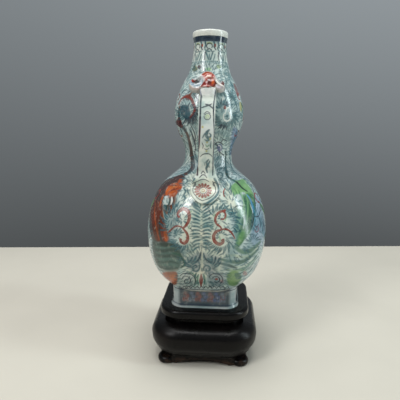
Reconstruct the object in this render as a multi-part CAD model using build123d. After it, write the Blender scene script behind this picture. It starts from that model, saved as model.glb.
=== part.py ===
"""A porcelain double gourd vase with two strap handles, standing loose on a carved wooden stand.

Millimetres, +Z up. The stand's feet rest at Z = 0, under the middle of the piece. X runs across
the narrow way, and Y along the broad way, with a handle at each end of it.
"""
from build123d import *
from math import copysign, cos, pi, sin
import os

# Vase: heights
floor_height = 11.0
lower_bulb_height = 112.8
upper_bulb_height = 71.8
neck_height = 23.0
mouth_root = 6.0

# Vase: widths across X and lengths along Y
lower_bulb_width = 99.0
lower_bulb_length = 106.0
upper_bulb_width = 56.2
upper_bulb_length = 58.6
waist_width = 38.0
waist_length = 39.6
neck_diameter = 25.8
lip_diameter = 27.8
lip_height = 5.0
lip_undercut = 1.6
lip_rounding = 0.9

# Vase: walls
body_wall = 3.0
mouth_diameter = 20.4
base_panel_thickness = 3.0
lower_boxiness = 1.1

# Vase: foot
foot_width = 53.0
foot_length = 57.0
foot_corner = 10.0
foot_wall = 3.5
foot_flare = 1.6
foot_flare_height = 4.0
foot_corner_height = 26.0

# Handles
handle_gap = 13.0
handle_thickness = 4.2
handle_width = 12.0
lappet_width = 23.2
lappet_thickness = 1.7

# Scrolled heads at the top of the handles
head_width = 30.2
head_length = 15.0
head_relief = 3.4
head_root = 4.0
head_lobe_diameter = 9.4
head_crown_diameter = 13.6
head_boss_diameter = 9.4
head_boss_height = 1.3
head_edge = 1.1

# Stand: plan
rail_width = 8.1
frame_corner = 19.0
waist_inset = 6.2
waist_wall = 6.0
belt_overhang = 7.2
belt_corner = 24.0
ankle_overhang = 1.6
ankle_corner = 17.0
apron_wall = 10.0
leg_width = 17.5
toe_diameter = 15.0
toe_inset = 0.9

# Stand: heights
stand_height = 46.0
frame_depth = 7.6
frame_edge = 2.6
stand_waist_depth = 4.6
apron_lift = 1.4
apron_arch = 3.4
toe_height = 5.6
toe_rounding = 2.4

# Stand: seat
seat_depth = 1.0
seat_clearance = 0.4
seat_thickness = 4.0
tongue_reach = 2.4
tongue_thickness = 1.6

# Shared by every cut
overrun = 1.0
outline_points = 10

# Share of the lower bulb's height, then of its width and length
lower_bulb_shares = (
    (0.000, 0.400, 0.410),
    (0.036, 0.550, 0.548),
    (0.090, 0.690, 0.680),
    (0.157, 0.822, 0.809),
    (0.239, 0.915, 0.906),
    (0.340, 0.978, 0.974),
    (0.450, 1.000, 1.000),
    (0.560, 0.980, 0.982),
    (0.655, 0.920, 0.922),
    (0.735, 0.835, 0.832),
    (0.795, 0.735, 0.728),
    (0.840, 0.625, 0.612),
    (0.880, 0.513, 0.500),
    (0.925, 0.425, 0.412),
)

# Share of the upper bulb's height, then of its width and length
upper_bulb_shares = (
    (0.085, 0.708, 0.706),
    (0.190, 0.820, 0.820),
    (0.300, 0.938, 0.938),
    (0.430, 1.000, 1.000),
    (0.560, 0.962, 0.960),
    (0.680, 0.868, 0.862),
    (0.800, 0.720, 0.706),
    (0.910, 0.578, 0.560),
)

# Share of the height above the neck's base, then of the neck's own diameter
neck_shares = (
    (0.000, 1.125),
    (0.250, 1.045),
    (0.500, 1.005),
    (0.700, 1.010),
)

# Share of a bulb's height, up or down from the waist, then of the handle's gap, for the strap's
# middle line
handle_shares = (
    (0.778, -0.260),
    (0.711, 0.060),
    (0.626, 0.260),
    (0.520, 0.370),
    (0.364, 0.550),
    (0.197, 0.890),
    (0.057, 1.020),
    (-0.051, 0.950),
    (-0.113, 0.600),
    (-0.167, 0.200),
    (-0.202, 0.030),
    (-0.245, -0.150),
)

# Share of a bulb's height, up or down from the waist, then of the strap's own width
handle_width_shares = (
    (0.833, 1.060),
    (0.529, 1.020),
    (0.255, 0.980),
    (0.042, 0.960),
    (-0.051, 1.020),
    (-0.098, 1.250),
    (-0.140, 1.520),
    (-0.179, 1.780),
    (-0.264, 1.780),
)

# Share of the lower bulb's height, down from the waist, then of the lappet's width
lappet_shares = (
    (-0.175, 0.955),
    (-0.202, 1.000),
    (-0.241, 0.900),
    (-0.270, 0.600),
)
lappet_tip_share = -0.299

# Where the head's middle lies, as a share of the upper bulb's height up from the waist
head_place_share = 0.784

# Share of the height from ground to stand waist, then of the step from ankle to belt
apron_shares = (
    (0.000, -0.560),
    (0.030, -0.440),
    (0.085, -0.370),
    (0.160, -0.400),
    (0.245, -0.200),
    (0.345, 0.260),
    (0.460, 0.690),
    (0.580, 0.940),
    (0.690, 1.000),
    (0.800, 0.860),
    (0.890, 0.460),
    (0.960, -0.300),
    (1.000, -1.000),
)

# Worked out from the sizes above
foot_level = stand_height - seat_depth
floor_level = foot_level + floor_height
waist_level = floor_level + lower_bulb_height
neck_level = waist_level + upper_bulb_height
mouth_level = neck_level + mouth_root
top_level = neck_level + neck_height
rim_width = foot_width + 2 * foot_flare + 2 * seat_clearance
rim_length = foot_length + 2 * foot_flare + 2 * seat_clearance
rim_corner = foot_corner + foot_flare + seat_clearance
frame_width = rim_width + 2 * rail_width
frame_length = rim_length + 2 * rail_width
stand_stretch = frame_length - frame_width
belt_width = frame_width + 2 * belt_overhang
ankle_width = frame_width + 2 * ankle_overhang
frame_bottom = stand_height - frame_depth
apron_top = frame_bottom - stand_waist_depth


def rounded_block(width, length, corner, bottom, top):
    """An upright block with rounded corners."""
    plan = Pos(0, 0, bottom) * RectangleRounded(width, length, corner)
    return extrude(plan, top - bottom)


def half_outline(half_width, half_length, level, boxiness):
    """The +X half of a level outline: half an ellipse, squared off where boxiness is above 0."""
    power = 2 / (2 + boxiness)
    points = []
    for step in range(outline_points + 1):
        angle = pi * step / outline_points - pi / 2
        across = abs(cos(angle)) ** power
        along = copysign(abs(sin(angle)) ** power, sin(angle))
        points.append((half_width * across, half_length * along, level))
    points[0] = (0, -half_length, level)
    points[-1] = (0, half_length, level)
    return Spline(points, tangents=((1, 0, 0), (-1, 0, 0)), tangent_scalars=(1, 1))


def lower_stations():
    """Level, half width, half length and boxiness of the lower bulb, from floor to waist."""
    stations = []
    for height, across, along in lower_bulb_shares:
        level = floor_level + height * lower_bulb_height
        squared = lower_boxiness * (1 - height) ** 2
        stations.append((level, across * lower_bulb_width / 2, along * lower_bulb_length / 2, squared))
    stations.append((waist_level, waist_width / 2, waist_length / 2, 0.0))
    return stations


def upper_stations():
    """Level, half width, half length and boxiness of the upper bulb, from waist to neck."""
    stations = [(waist_level, waist_width / 2, waist_length / 2, 0.0)]
    for height, across, along in upper_bulb_shares:
        level = waist_level + height * upper_bulb_height
        stations.append((level, across * upper_bulb_width / 2, along * upper_bulb_length / 2, 0.0))
    base = neck_shares[0][1] * neck_diameter / 2
    stations.append((neck_level, base, base, 0.0))
    return stations


def handle_level(share):
    """The level of a share of the upper bulb's height above the waist, or of the lower's below it."""
    if share < 0:
        return waist_level + share * lower_bulb_height
    return waist_level + share * upper_bulb_height


def half_length_at(level):
    """How far the vase's outside reaches along Y at a level."""
    stations = lower_stations() + upper_stations()
    for lower, upper in zip(stations, stations[1:]):
        if lower[0] <= level < upper[0]:
            part = (level - lower[0]) / (upper[0] - lower[0])
            return lower[2] + part * (upper[2] - lower[2])
    return stations[-1][2]


def bulb(stations, grow=0.0):
    """The outside of a bulb as one closed form, grown level by level."""
    outlines = []
    for level, half_width, half_length, boxiness in stations:
        right = half_outline(half_width + grow, half_length + grow, level, boxiness)
        outlines.append(Face(Wire([right, Rot(0, 0, 180) * right])))
    return loft(outlines)


def half_shell(stations):
    """The +X half of a bulb's wall, with a flat seam face at X = 0."""
    outlines = []
    for level, half_width, half_length, boxiness in stations:
        outer = half_outline(half_width, half_length, level, boxiness)
        inner = half_outline(half_width - body_wall, half_length - body_wall, level, boxiness)
        low_seam = Line(inner @ 0, outer @ 0)
        high_seam = Line(outer @ 1, inner @ 1)
        outlines.append(Face(Wire([low_seam, outer, high_seam, inner])))
    return loft(outlines)


def make_neck():
    """The round neck with its rolled lip and straight bore."""
    outer = []
    for height, share in neck_shares:
        outer.append((share * neck_diameter / 2, 0, neck_level + height * neck_height))
    lip_bottom = (lip_diameter / 2, 0, top_level - lip_height + lip_undercut)
    lip_top = (lip_diameter / 2, 0, top_level)
    mouth_top = (mouth_diameter / 2, 0, top_level)
    mouth_bottom = (mouth_diameter / 2, 0, mouth_level)
    root = (outer[0][0] - body_wall, 0, neck_level)
    rest = Polyline(outer[-1], lip_bottom, lip_top, mouth_top, mouth_bottom, root, outer[0])
    profile = Face(Wire([Spline(outer), *rest.edges()]))
    neck = revolve(profile, Axis.Z)
    rim = neck.edges().filter_by(GeomType.CIRCLE).filter_by_position(Axis.Z, top_level, top_level)
    return fillet(rim, lip_rounding)


def make_body():
    """Neck, and two pressed halves of each bulb: thin walls that meet on flat luted seams."""
    turn = Rot(0, 0, 180)
    pieces = {"neck": make_neck()}
    pieces["upper_bulb_right"] = half_shell(upper_stations())
    pieces["upper_bulb_left"] = turn * pieces["upper_bulb_right"]
    pieces["lower_bulb_right"] = half_shell(lower_stations())
    pieces["lower_bulb_left"] = turn * pieces["lower_bulb_right"]
    return pieces


def make_foot(outside):
    """The upright foot ring, cut to the bulb that it carries, and the panel that closes the base."""
    flared = loft(
        [
            Pos(0, 0, foot_level)
            * RectangleRounded(
                foot_width + 2 * foot_flare, foot_length + 2 * foot_flare, foot_corner + foot_flare
            ),
            Pos(0, 0, foot_level + foot_flare_height)
            * RectangleRounded(foot_width, foot_length, foot_corner),
        ],
        ruled=True,
    )
    upright = rounded_block(
        foot_width,
        foot_length,
        foot_corner,
        foot_level + foot_flare_height,
        foot_level + foot_corner_height,
    )
    inner_width = foot_width - 2 * foot_wall
    inner_length = foot_length - 2 * foot_wall
    inner_corner = foot_corner - foot_wall
    well = rounded_block(
        inner_width,
        inner_length,
        inner_corner,
        foot_level - overrun,
        foot_level + foot_corner_height + overrun,
    )
    panel = rounded_block(
        inner_width,
        inner_length,
        inner_corner,
        floor_level - base_panel_thickness,
        floor_level,
    )
    return {"foot_ring": flared + upright - well - outside, "base_panel": panel}


def seen_outline(places, width):
    """Right and left edges, seen along Y, of a piece that is as wide as its shares say."""
    right = []
    left = []
    for height, share in places:
        level = handle_level(height)
        right.append((share * width / 2, 0, level))
        left.append((-share * width / 2, 0, level))
    return right, left


def make_strap():
    """The front handle: a flat strap that stands off the vase and widens at its lower end."""
    middle = []
    for height, standoff in handle_shares:
        level = handle_level(height)
        middle.append((0, -half_length_at(level) - standoff * handle_gap, level))
    path = Spline(middle)
    outer = []
    inner = []
    for step in range(outline_points + 1):
        place = path.position_at(step / outline_points)
        along = path.tangent_at(step / outline_points)
        normal = Vector(0, along.Z, -along.Y) * (handle_thickness / 2)
        outer.append(place + normal)
        inner.append(place - normal)
    profile = Face(
        Wire([Spline(outer), Line(outer[-1], inner[-1]), Spline(inner), Line(inner[0], outer[0])])
    )
    right, left = seen_outline(handle_width_shares, handle_width)
    front = Face(
        Wire([Spline(right), Line(right[-1], left[-1]), Spline(left), Line(left[0], right[0])])
    )
    band = extrude(profile, handle_width, dir=(1, 0, 0), both=True)
    return band & extrude(front, lower_bulb_length, dir=(0, -1, 0))


def make_lappet(low):
    """The pointed lappet in which the front strap ends, laid on the shoulder of the lower bulb."""
    right, left = seen_outline(lappet_shares, lappet_width)
    tip = (0, 0, handle_level(lappet_tip_share))
    lower_edges = [Line(right[-1], tip), Line(tip, left[-1])]
    outline = Face(Wire([Spline(right), *lower_edges, Spline(left), Line(left[0], right[0])]))
    prism = extrude(outline, lower_bulb_length, dir=(0, -1, 0))
    return (prism & bulb(lower_stations(), lappet_thickness)) - low


def make_head(high):
    """The front cloud-scroll head: a crown between two side lobes, with a boss, in low relief."""
    level = handle_level(head_place_share)
    rise = head_length / 2
    slope = (half_length_at(level - rise) - half_length_at(level + rise)) / (2 * rise)
    face = Plane(origin=(0, -half_length_at(level), level), x_dir=(1, 0, 0), z_dir=(0, -1, slope))
    lobe_shift = (head_width - head_lobe_diameter) / 2
    lobe_drop = (head_length - head_lobe_diameter) / 2
    crown_rise = (head_length - head_crown_diameter) / 2
    plan = Pos(0, crown_rise, 0) * Circle(head_crown_diameter / 2)
    plan += Pos(lobe_shift, -lobe_drop / 2, 0) * Circle(head_lobe_diameter / 2)
    plan += Pos(-lobe_shift, -lobe_drop / 2, 0) * Circle(head_lobe_diameter / 2)
    sill = Rectangle(2 * lobe_shift, head_lobe_diameter)
    plan += Pos(0, -lobe_drop / 2, 0) * sill
    lobe_top = (head_lobe_diameter - lobe_drop) / 2
    crown_side = head_crown_diameter / 2 * cos(pi / 4)
    crown_shoulder = crown_rise + crown_side
    shoulders = Polyline(
        (-lobe_shift, lobe_top),
        (-crown_side, crown_shoulder),
        (crown_side, crown_shoulder),
        (lobe_shift, lobe_top),
        close=True,
    )
    plan += make_face(shoulders)
    plate = extrude(plan, head_root + head_relief)
    plate = fillet(plate.edges().group_by(Axis.Z)[-1], head_edge)
    boss = extrude(Circle(head_boss_diameter / 2), head_root + head_relief + head_boss_height)
    boss = fillet(boss.edges().group_by(Axis.Z)[-1], head_edge)
    head = plate + Pos(0, crown_rise / 2, 0) * boss
    return face * (Pos(0, 0, -head_root) * head) - high


def stand_polygon(side, along, bottom, top):
    """The share of the stand's plan that one mitred length takes, as an upright block."""
    reach = belt_width
    ridge = stand_stretch / 2
    if along:
        points = [
            (0, -ridge),
            (side * reach, -ridge - reach),
            (side * reach, ridge + reach),
            (0, ridge),
        ]
    else:
        points = [
            (0, side * ridge),
            (reach, side * (ridge + reach)),
            (-reach, side * (ridge + reach)),
        ]
    plan = make_face(Polyline(points, close=True))
    return Pos(0, 0, bottom) * extrude(plan, top - bottom, dir=(0, 0, 1))


def four_sides(prefix, ring, bottom, top):
    """A ring split at its mitres into front, rear, left and right lengths."""
    names = (("front", -1, False), ("rear", 1, False), ("left", -1, True), ("right", 1, True))
    pieces = {}
    for name, side, along in names:
        pieces[prefix + "_" + name] = ring & stand_polygon(side, along, bottom, top)
    return pieces


def make_frame():
    """The stand's mitred top frame, grooved for the seat panel that floats in it."""
    ring = rounded_block(frame_width, frame_length, frame_corner, frame_bottom, stand_height)
    level_edges = ring.edges().filter_by(lambda edge: edge.bounding_box().size.Z < frame_edge)
    ring = fillet(level_edges, frame_edge)
    ring -= rounded_block(
        rim_width, rim_length, rim_corner, frame_bottom - overrun, stand_height + overrun
    )
    seat_bottom = foot_level - seat_thickness
    tongue_bottom = seat_bottom + (seat_thickness - tongue_thickness) / 2
    tongue = rounded_block(
        rim_width + 2 * tongue_reach,
        rim_length + 2 * tongue_reach,
        rim_corner,
        tongue_bottom,
        tongue_bottom + tongue_thickness,
    )
    panel = rounded_block(rim_width, rim_length, rim_corner, seat_bottom, foot_level)
    pieces = four_sides("top_rail", ring - tongue, frame_bottom, stand_height)
    pieces["seat_panel"] = panel + tongue
    return pieces


def make_stand_waist():
    """The set-back band between the frame and the aprons."""
    width = frame_width - 2 * waist_inset
    outer = rounded_block(
        width, width + stand_stretch, frame_corner - waist_inset, apron_top, frame_bottom
    )
    inner_width = width - 2 * waist_wall
    inner = rounded_block(
        inner_width,
        inner_width + stand_stretch,
        frame_corner - waist_inset,
        apron_top - overrun,
        frame_bottom + overrun,
    )
    return four_sides("waist_strip", outer - inner, apron_top, frame_bottom)


def apron_ring():
    """The bulging band of aprons and legs, from the ground to the waist."""
    outlines = []
    for height, swell in apron_shares:
        width = ankle_width + swell * (belt_width - ankle_width)
        corner = ankle_corner + swell * (belt_corner - ankle_corner)
        level = height * apron_top
        outlines.append(Pos(0, 0, level) * RectangleRounded(width, width + stand_stretch, corner))
    inner_width = ankle_width - 2 * apron_wall
    inner = rounded_block(
        inner_width,
        inner_width + stand_stretch,
        ankle_corner - apron_wall,
        -overrun,
        apron_top + overrun,
    )
    return loft(outlines) - inner


def arch_cutter(span, along):
    """What an apron's lower edge clears: a shallow arch between two legs."""
    half = span / 2
    start = (-half, 0, apron_lift)
    middle = (0, 0, apron_lift + apron_arch)
    end = (half, 0, apron_lift)
    low_end = (half, 0, -overrun)
    low_start = (-half, 0, -overrun)
    outline = Face(
        Wire(
            [
                ThreePointArc(start, middle, end),
                Line(end, low_end),
                Line(low_end, low_start),
                Line(low_start, start),
            ]
        )
    )
    cutter = extrude(outline, belt_width + stand_stretch, both=True)
    if along:
        return Rot(0, 0, 90) * cutter
    return cutter


def make_toes():
    """A low round pad under each corner, where the leg turns outward."""
    toe = Pos(0, 0, toe_height / 2) * Cylinder(toe_diameter / 2, toe_height)
    toe = fillet(toe.edges().filter_by(GeomType.CIRCLE), toe_rounding)
    shift = ankle_width / 2 - toe_inset - toe_diameter / 2
    places = GridLocations(2 * shift, 2 * shift + stand_stretch, 2, 2)
    return [place * toe for place in places]


def make_aprons():
    """Four aprons with arched lower edges, and a leg at each corner between them."""
    ring = apron_ring()
    across = ankle_width - 2 * leg_width
    along = across + stand_stretch
    reach = belt_width + stand_stretch
    cross_block = Pos(0, 0, -overrun) * extrude(Rectangle(across, reach * 2), apron_top + 2 * overrun)
    long_block = Pos(0, 0, -overrun) * extrude(Rectangle(reach * 2, along), apron_top + 2 * overrun)
    cross_parts = (ring & cross_block) - arch_cutter(across, False)
    long_parts = (ring & long_block) - arch_cutter(along, True)
    half_plan = Rectangle(reach * 2, reach)
    front_half = Pos(0, -reach / 2, -overrun) * extrude(half_plan, apron_top + 2 * overrun)
    left_half = Rot(0, 0, -90) * front_half
    legs = (ring - cross_block - long_block) + make_toes()
    pieces = {
        "apron_front": cross_parts & front_half,
        "apron_rear": cross_parts - front_half,
        "apron_left": long_parts & left_half,
        "apron_right": long_parts - left_half,
        "leg_front_left": (legs & front_half) & left_half,
        "leg_front_right": (legs & front_half) - left_half,
        "leg_rear_left": (legs - front_half) & left_half,
        "leg_rear_right": (legs - front_half) - left_half,
    }
    return pieces


def make_vase():
    """All pieces of the vase."""
    low = bulb(lower_stations())
    high = bulb(upper_stations())
    pieces = make_body()
    pieces.update(make_foot(low))
    head = make_head(high)
    lappet = make_lappet(low)
    strap = make_strap() - low - high - head - lappet
    turn = Rot(0, 0, 180)
    for name, piece in (("ruyi_head", head), ("strap_handle", strap), ("handle_lappet", lappet)):
        pieces[name + "_front"] = piece
        pieces[name + "_rear"] = turn * piece
    return pieces


def make_stand():
    """All pieces of the stand."""
    pieces = make_frame()
    pieces.update(make_stand_waist())
    pieces.update(make_aprons())
    return pieces


os.makedirs("parts", exist_ok=True)
for node, shape in {**make_vase(), **make_stand()}.items():
    export_step(shape, "parts/" + node + ".step")
    print(node, len(shape.solids()), "solids", round(shape.volume), "cubic mm")
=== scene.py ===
import math
import bpy
import numpy as np
from mathutils import Matrix, Vector
from mathutils.bvhtree import BVHTree


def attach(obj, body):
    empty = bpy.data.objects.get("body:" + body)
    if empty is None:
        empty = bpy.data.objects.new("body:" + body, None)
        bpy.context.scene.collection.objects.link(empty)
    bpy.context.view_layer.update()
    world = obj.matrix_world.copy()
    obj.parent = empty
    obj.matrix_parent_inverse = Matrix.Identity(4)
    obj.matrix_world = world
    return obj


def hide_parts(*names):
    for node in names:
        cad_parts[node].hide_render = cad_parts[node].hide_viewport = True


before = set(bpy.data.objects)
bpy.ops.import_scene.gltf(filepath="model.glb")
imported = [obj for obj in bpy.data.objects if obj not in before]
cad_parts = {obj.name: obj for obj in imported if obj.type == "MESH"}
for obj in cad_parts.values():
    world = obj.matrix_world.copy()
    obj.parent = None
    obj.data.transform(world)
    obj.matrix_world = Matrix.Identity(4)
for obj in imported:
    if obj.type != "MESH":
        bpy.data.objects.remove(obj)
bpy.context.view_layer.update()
MM = 0.001

# Camera: lengths in millimetres, angles in degrees; the picture and the focal length in its pixels
PICTURE, FOCAL, SENSOR = 400, 400.0, 36
MIDDLE = PICTURE / 2
PITCH, AZIMUTH, ROLL = 10.9, 2.7, 1.0
CAMERA_DISTANCE, CAMERA_HEIGHT, SHIFT_PX = 333.0, 194.0, 7.6

# Vase sizes, as in the part's source
FOOT_LEVEL = 45.0
FLOOR_HEIGHT, WAIST_HEIGHT, NECK_HEIGHT = 11.0, 123.8, 195.6
WAIST_LEVEL, NECK_LEVEL = FOOT_LEVEL + WAIST_HEIGHT, FOOT_LEVEL + NECK_HEIGHT
LOW_W, LOW_L, HIGH_W, HIGH_L = 99.0, 106.0, 56.2, 58.6
WAIST_W, WAIST_L, NECK_D = 38.0, 39.6, 25.8
NECK_BASE_D = 1.125 * NECK_D
FOOT_W, FOOT_L, FOOT_CORNER, WALL = 53.0, 57.0, 10.0, 3.0
# Profiles: height within the bulb, and its shares of the full width and length there
LOW = ((0, .4, .41), (.036, .55, .548), (.09, .69, .68), (.157, .822, .809), (.239, .915, .906),
       (.34, .978, .974), (.45, 1, 1), (.56, .98, .982), (.655, .92, .922), (.735, .835, .832),
       (.795, .735, .728), (.84, .625, .612), (.88, .513, .5), (.925, .425, .412))
HIGH = ((.085, .708, .706), (.19, .82, .82), (.3, .938, .938), (.43, 1, 1), (.56, .962, .96),
        (.68, .868, .862), (.8, .72, .706), (.91, .578, .56))
# Handle: level and stand-off of the strap's middle line, level and width of strap and lappet
HANDLE = ((224.7, -3.4), (219.9, -.3), (213.8, 2.2), (206.1, 4.2), (194.9, 7.15), (182.9, 11.6), (172.9, 13.3),
          (163.1, 12.4), (156.1, 7.8), (150.0, 3.6), (146, 2.0), (141, 0.6), (135, -.4))
WIDTH = ((228, 13.3), (207, 12.7), (187, 11.9), (172, 11.5), (163, 12.2), (157.7, 15), (153, 18.2), (149, 21.6),
         (146, 23), (143, 22.4), (140.5, 19.4), (138, 13.8), (136.4, 8), (135.3, 2.4))
STRAP_THICKNESS, LAPPET_PROUD = 4.2, 1.7
HANDLE_TOP, STRAP_END, LAPPET_TIP = 227, 153, 135.2


def rgb(r, g, b):
    """A linear colour from sRGB numbers of 0 to 255."""
    return tuple(((c / 255 + .055) / 1.055) ** 2.4 if c > 10 else c / 255 / 12.92 for c in (r, g, b))


GLAZE = rgb(217, 229, 223)


def spline(knots, values):
    """A natural cubic spline through values at knots, as a function of the knot."""
    t, y = np.asarray(knots, float), np.asarray(values, float)
    h = np.diff(t)
    n = len(t)
    left = np.zeros((n, n))
    right = np.zeros(n)
    left[0, 0] = left[-1, -1] = 1
    for k in range(1, n - 1):
        left[k, k - 1], left[k, k], left[k, k + 1] = h[k - 1], 2 * (h[k - 1] + h[k]), h[k]
        right[k] = 6 * ((y[k + 1] - y[k]) / h[k] - (y[k] - y[k - 1]) / h[k - 1])
    bend = np.linalg.solve(left, right)

    def at(s):
        s = np.asarray(s, float)
        k = np.clip(np.searchsorted(t, s) - 1, 0, n - 2)
        a, b = (t[k + 1] - s) / h[k], (s - t[k]) / h[k]
        return (a * y[k] + b * y[k + 1]
                + ((a ** 3 - a) * bend[k] + (b ** 3 - b) * bend[k + 1]) * h[k] ** 2 / 6)
    return at


class Bulb:
    """One bulb's outside: level, half width, half length and squareness along its profile."""

    def __init__(self, stations):
        s = np.array(stations, float)
        self.t = np.concatenate(([0], np.cumsum(np.hypot(np.diff(s[:, 0]), np.diff(s[:, 1])))))
        self.z, self.a, self.b, self.p = (spline(self.t, s[:, k]) for k in range(4))

    def points(self, t, turn):
        """Points for profile places t and turns from the front, as arrays of one shape."""
        a, b, p = self.a(t), self.b(t), 2 + np.clip(self.p(t), 0, None)
        x, y = np.sin(turn), -np.cos(turn)
        r = ((np.abs(x) / a) ** p + (np.abs(y) / b) ** p) ** (-1 / p)
        return np.stack([r * x, r * y, self.z(t)], -1)


def stations(shares, base, span, width, length, boxiness):
    """A bulb's profile in millimetres from its shares, boxier towards its foot."""
    return [(FOOT_LEVEL + base + h * span, a * width / 2, b * length / 2, boxiness * (1 - h) ** 2)
            for h, a, b in shares]


waist = (WAIST_LEVEL, WAIST_W / 2, WAIST_L / 2, 0)
low_bulb = Bulb(stations(LOW, FLOOR_HEIGHT, WAIST_HEIGHT - FLOOR_HEIGHT, LOW_W, LOW_L, 1.1) + [waist])
high_bulb = Bulb([waist] + stations(HIGH, WAIST_HEIGHT, NECK_HEIGHT - WAIST_HEIGHT, HIGH_W, HIGH_L, 0)
                 + [(NECK_LEVEL, NECK_BASE_D / 2, NECK_BASE_D / 2, 0)])
for bulb in (low_bulb, high_bulb):
    bulb.ts = np.linspace(0, bulb.t[-1], 900)
    bulb.zs = bulb.z(bulb.ts)


# Camera and the way from a place in the picture to a place on the vase
swing, tilt, roll = math.radians(AZIMUTH), math.radians(PITCH), math.radians(ROLL)
eye = Vector((CAMERA_DISTANCE * math.sin(swing), -CAMERA_DISTANCE * math.cos(swing), CAMERA_HEIGHT))
ahead = Vector((-math.sin(swing) * math.cos(tilt), math.cos(swing) * math.cos(tilt), -math.sin(tilt)))
level_right = Vector((math.cos(swing), math.sin(swing), 0))
level_up = level_right.cross(ahead)
cam_right = level_right * math.cos(roll) + level_up * math.sin(roll)
cam_up = level_up * math.cos(roll) - level_right * math.sin(roll)

camera = bpy.data.cameras.new("camera")
camera.sensor_width = SENSOR
camera.lens = SENSOR * FOCAL / PICTURE
camera.shift_x = -SHIFT_PX / PICTURE
camera.clip_start = 0.01
camera_object = bpy.data.objects.new("camera", camera)
pose = Matrix((cam_right, cam_up, -ahead)).transposed().to_4x4()
pose.translation = eye * MM
camera_object.matrix_world = pose
bpy.context.collection.objects.link(camera_object)
bpy.context.scene.camera = camera_object
bpy.context.scene.view_settings.view_transform = "Standard"


def sight(px, py):
    """The direction that a place in the picture looks along."""
    return np.array(ahead + cam_right * ((px - MIDDLE - SHIFT_PX) / FOCAL) - cam_up * ((py - MIDDLE) / FOCAL))


class PhotoView:
    """The camera's own view, in pixels of the picture."""

    def flat(self, v):
        """Where points lie in the view."""
        seen = v - np.array(eye)
        depth = seen @ np.array(ahead)
        x = MIDDLE + SHIFT_PX + FOCAL * (seen @ np.array(cam_right)) / depth
        return np.stack([x, MIDDLE - FOCAL * (seen @ np.array(cam_up)) / depth], -1)

    def ray(self, q):
        """The start and direction of the line of sight to a place in the view."""
        return np.array(eye), sight(q[0], q[1])


class SideView:
    """A level view of the +X side, in millimetres: along Y, and up."""

    def flat(self, v):
        return v[..., 1:]

    def ray(self, q):
        return np.array([200.0, q[0], q[1]]), np.array([-1.0, 0, 0])


PHOTO, SIDE = PhotoView(), SideView()


def smooth(points, closed=False, pieces=6):
    """Points along a smooth curve through the given ones, with any third number carried along."""
    p = np.array(points, float)
    if len(p) < 3:
        return p
    ring = np.vstack([p[-1], p, p[0], p[1]]) if closed else np.vstack([2 * p[0] - p[1], p, 2 * p[-1] - p[-2]])
    out = []
    s = np.linspace(0, 1, pieces, endpoint=False)[:, None]
    for k in range(len(ring) - 3):
        a, b, c, d = ring[k:k + 4]
        out.append(b + .5 * s * (c - a + s * (2 * a - 5 * b + 4 * c - d + s * (3 * (b - c) + d - a))))
    return np.vstack(out + ([] if closed else [p[-1:]]))


LAYERS = ("ink", "red", "blue", "white")
BARE, FAR = 9.0, 99.0  # a layer's distance where nothing is painted; a distance beyond any other
SWELL = {"ink": 1.12, "red": 1.12, "blue": 1.3, "white": 1.12}  # how much wider than given a layer's lines are


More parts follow.
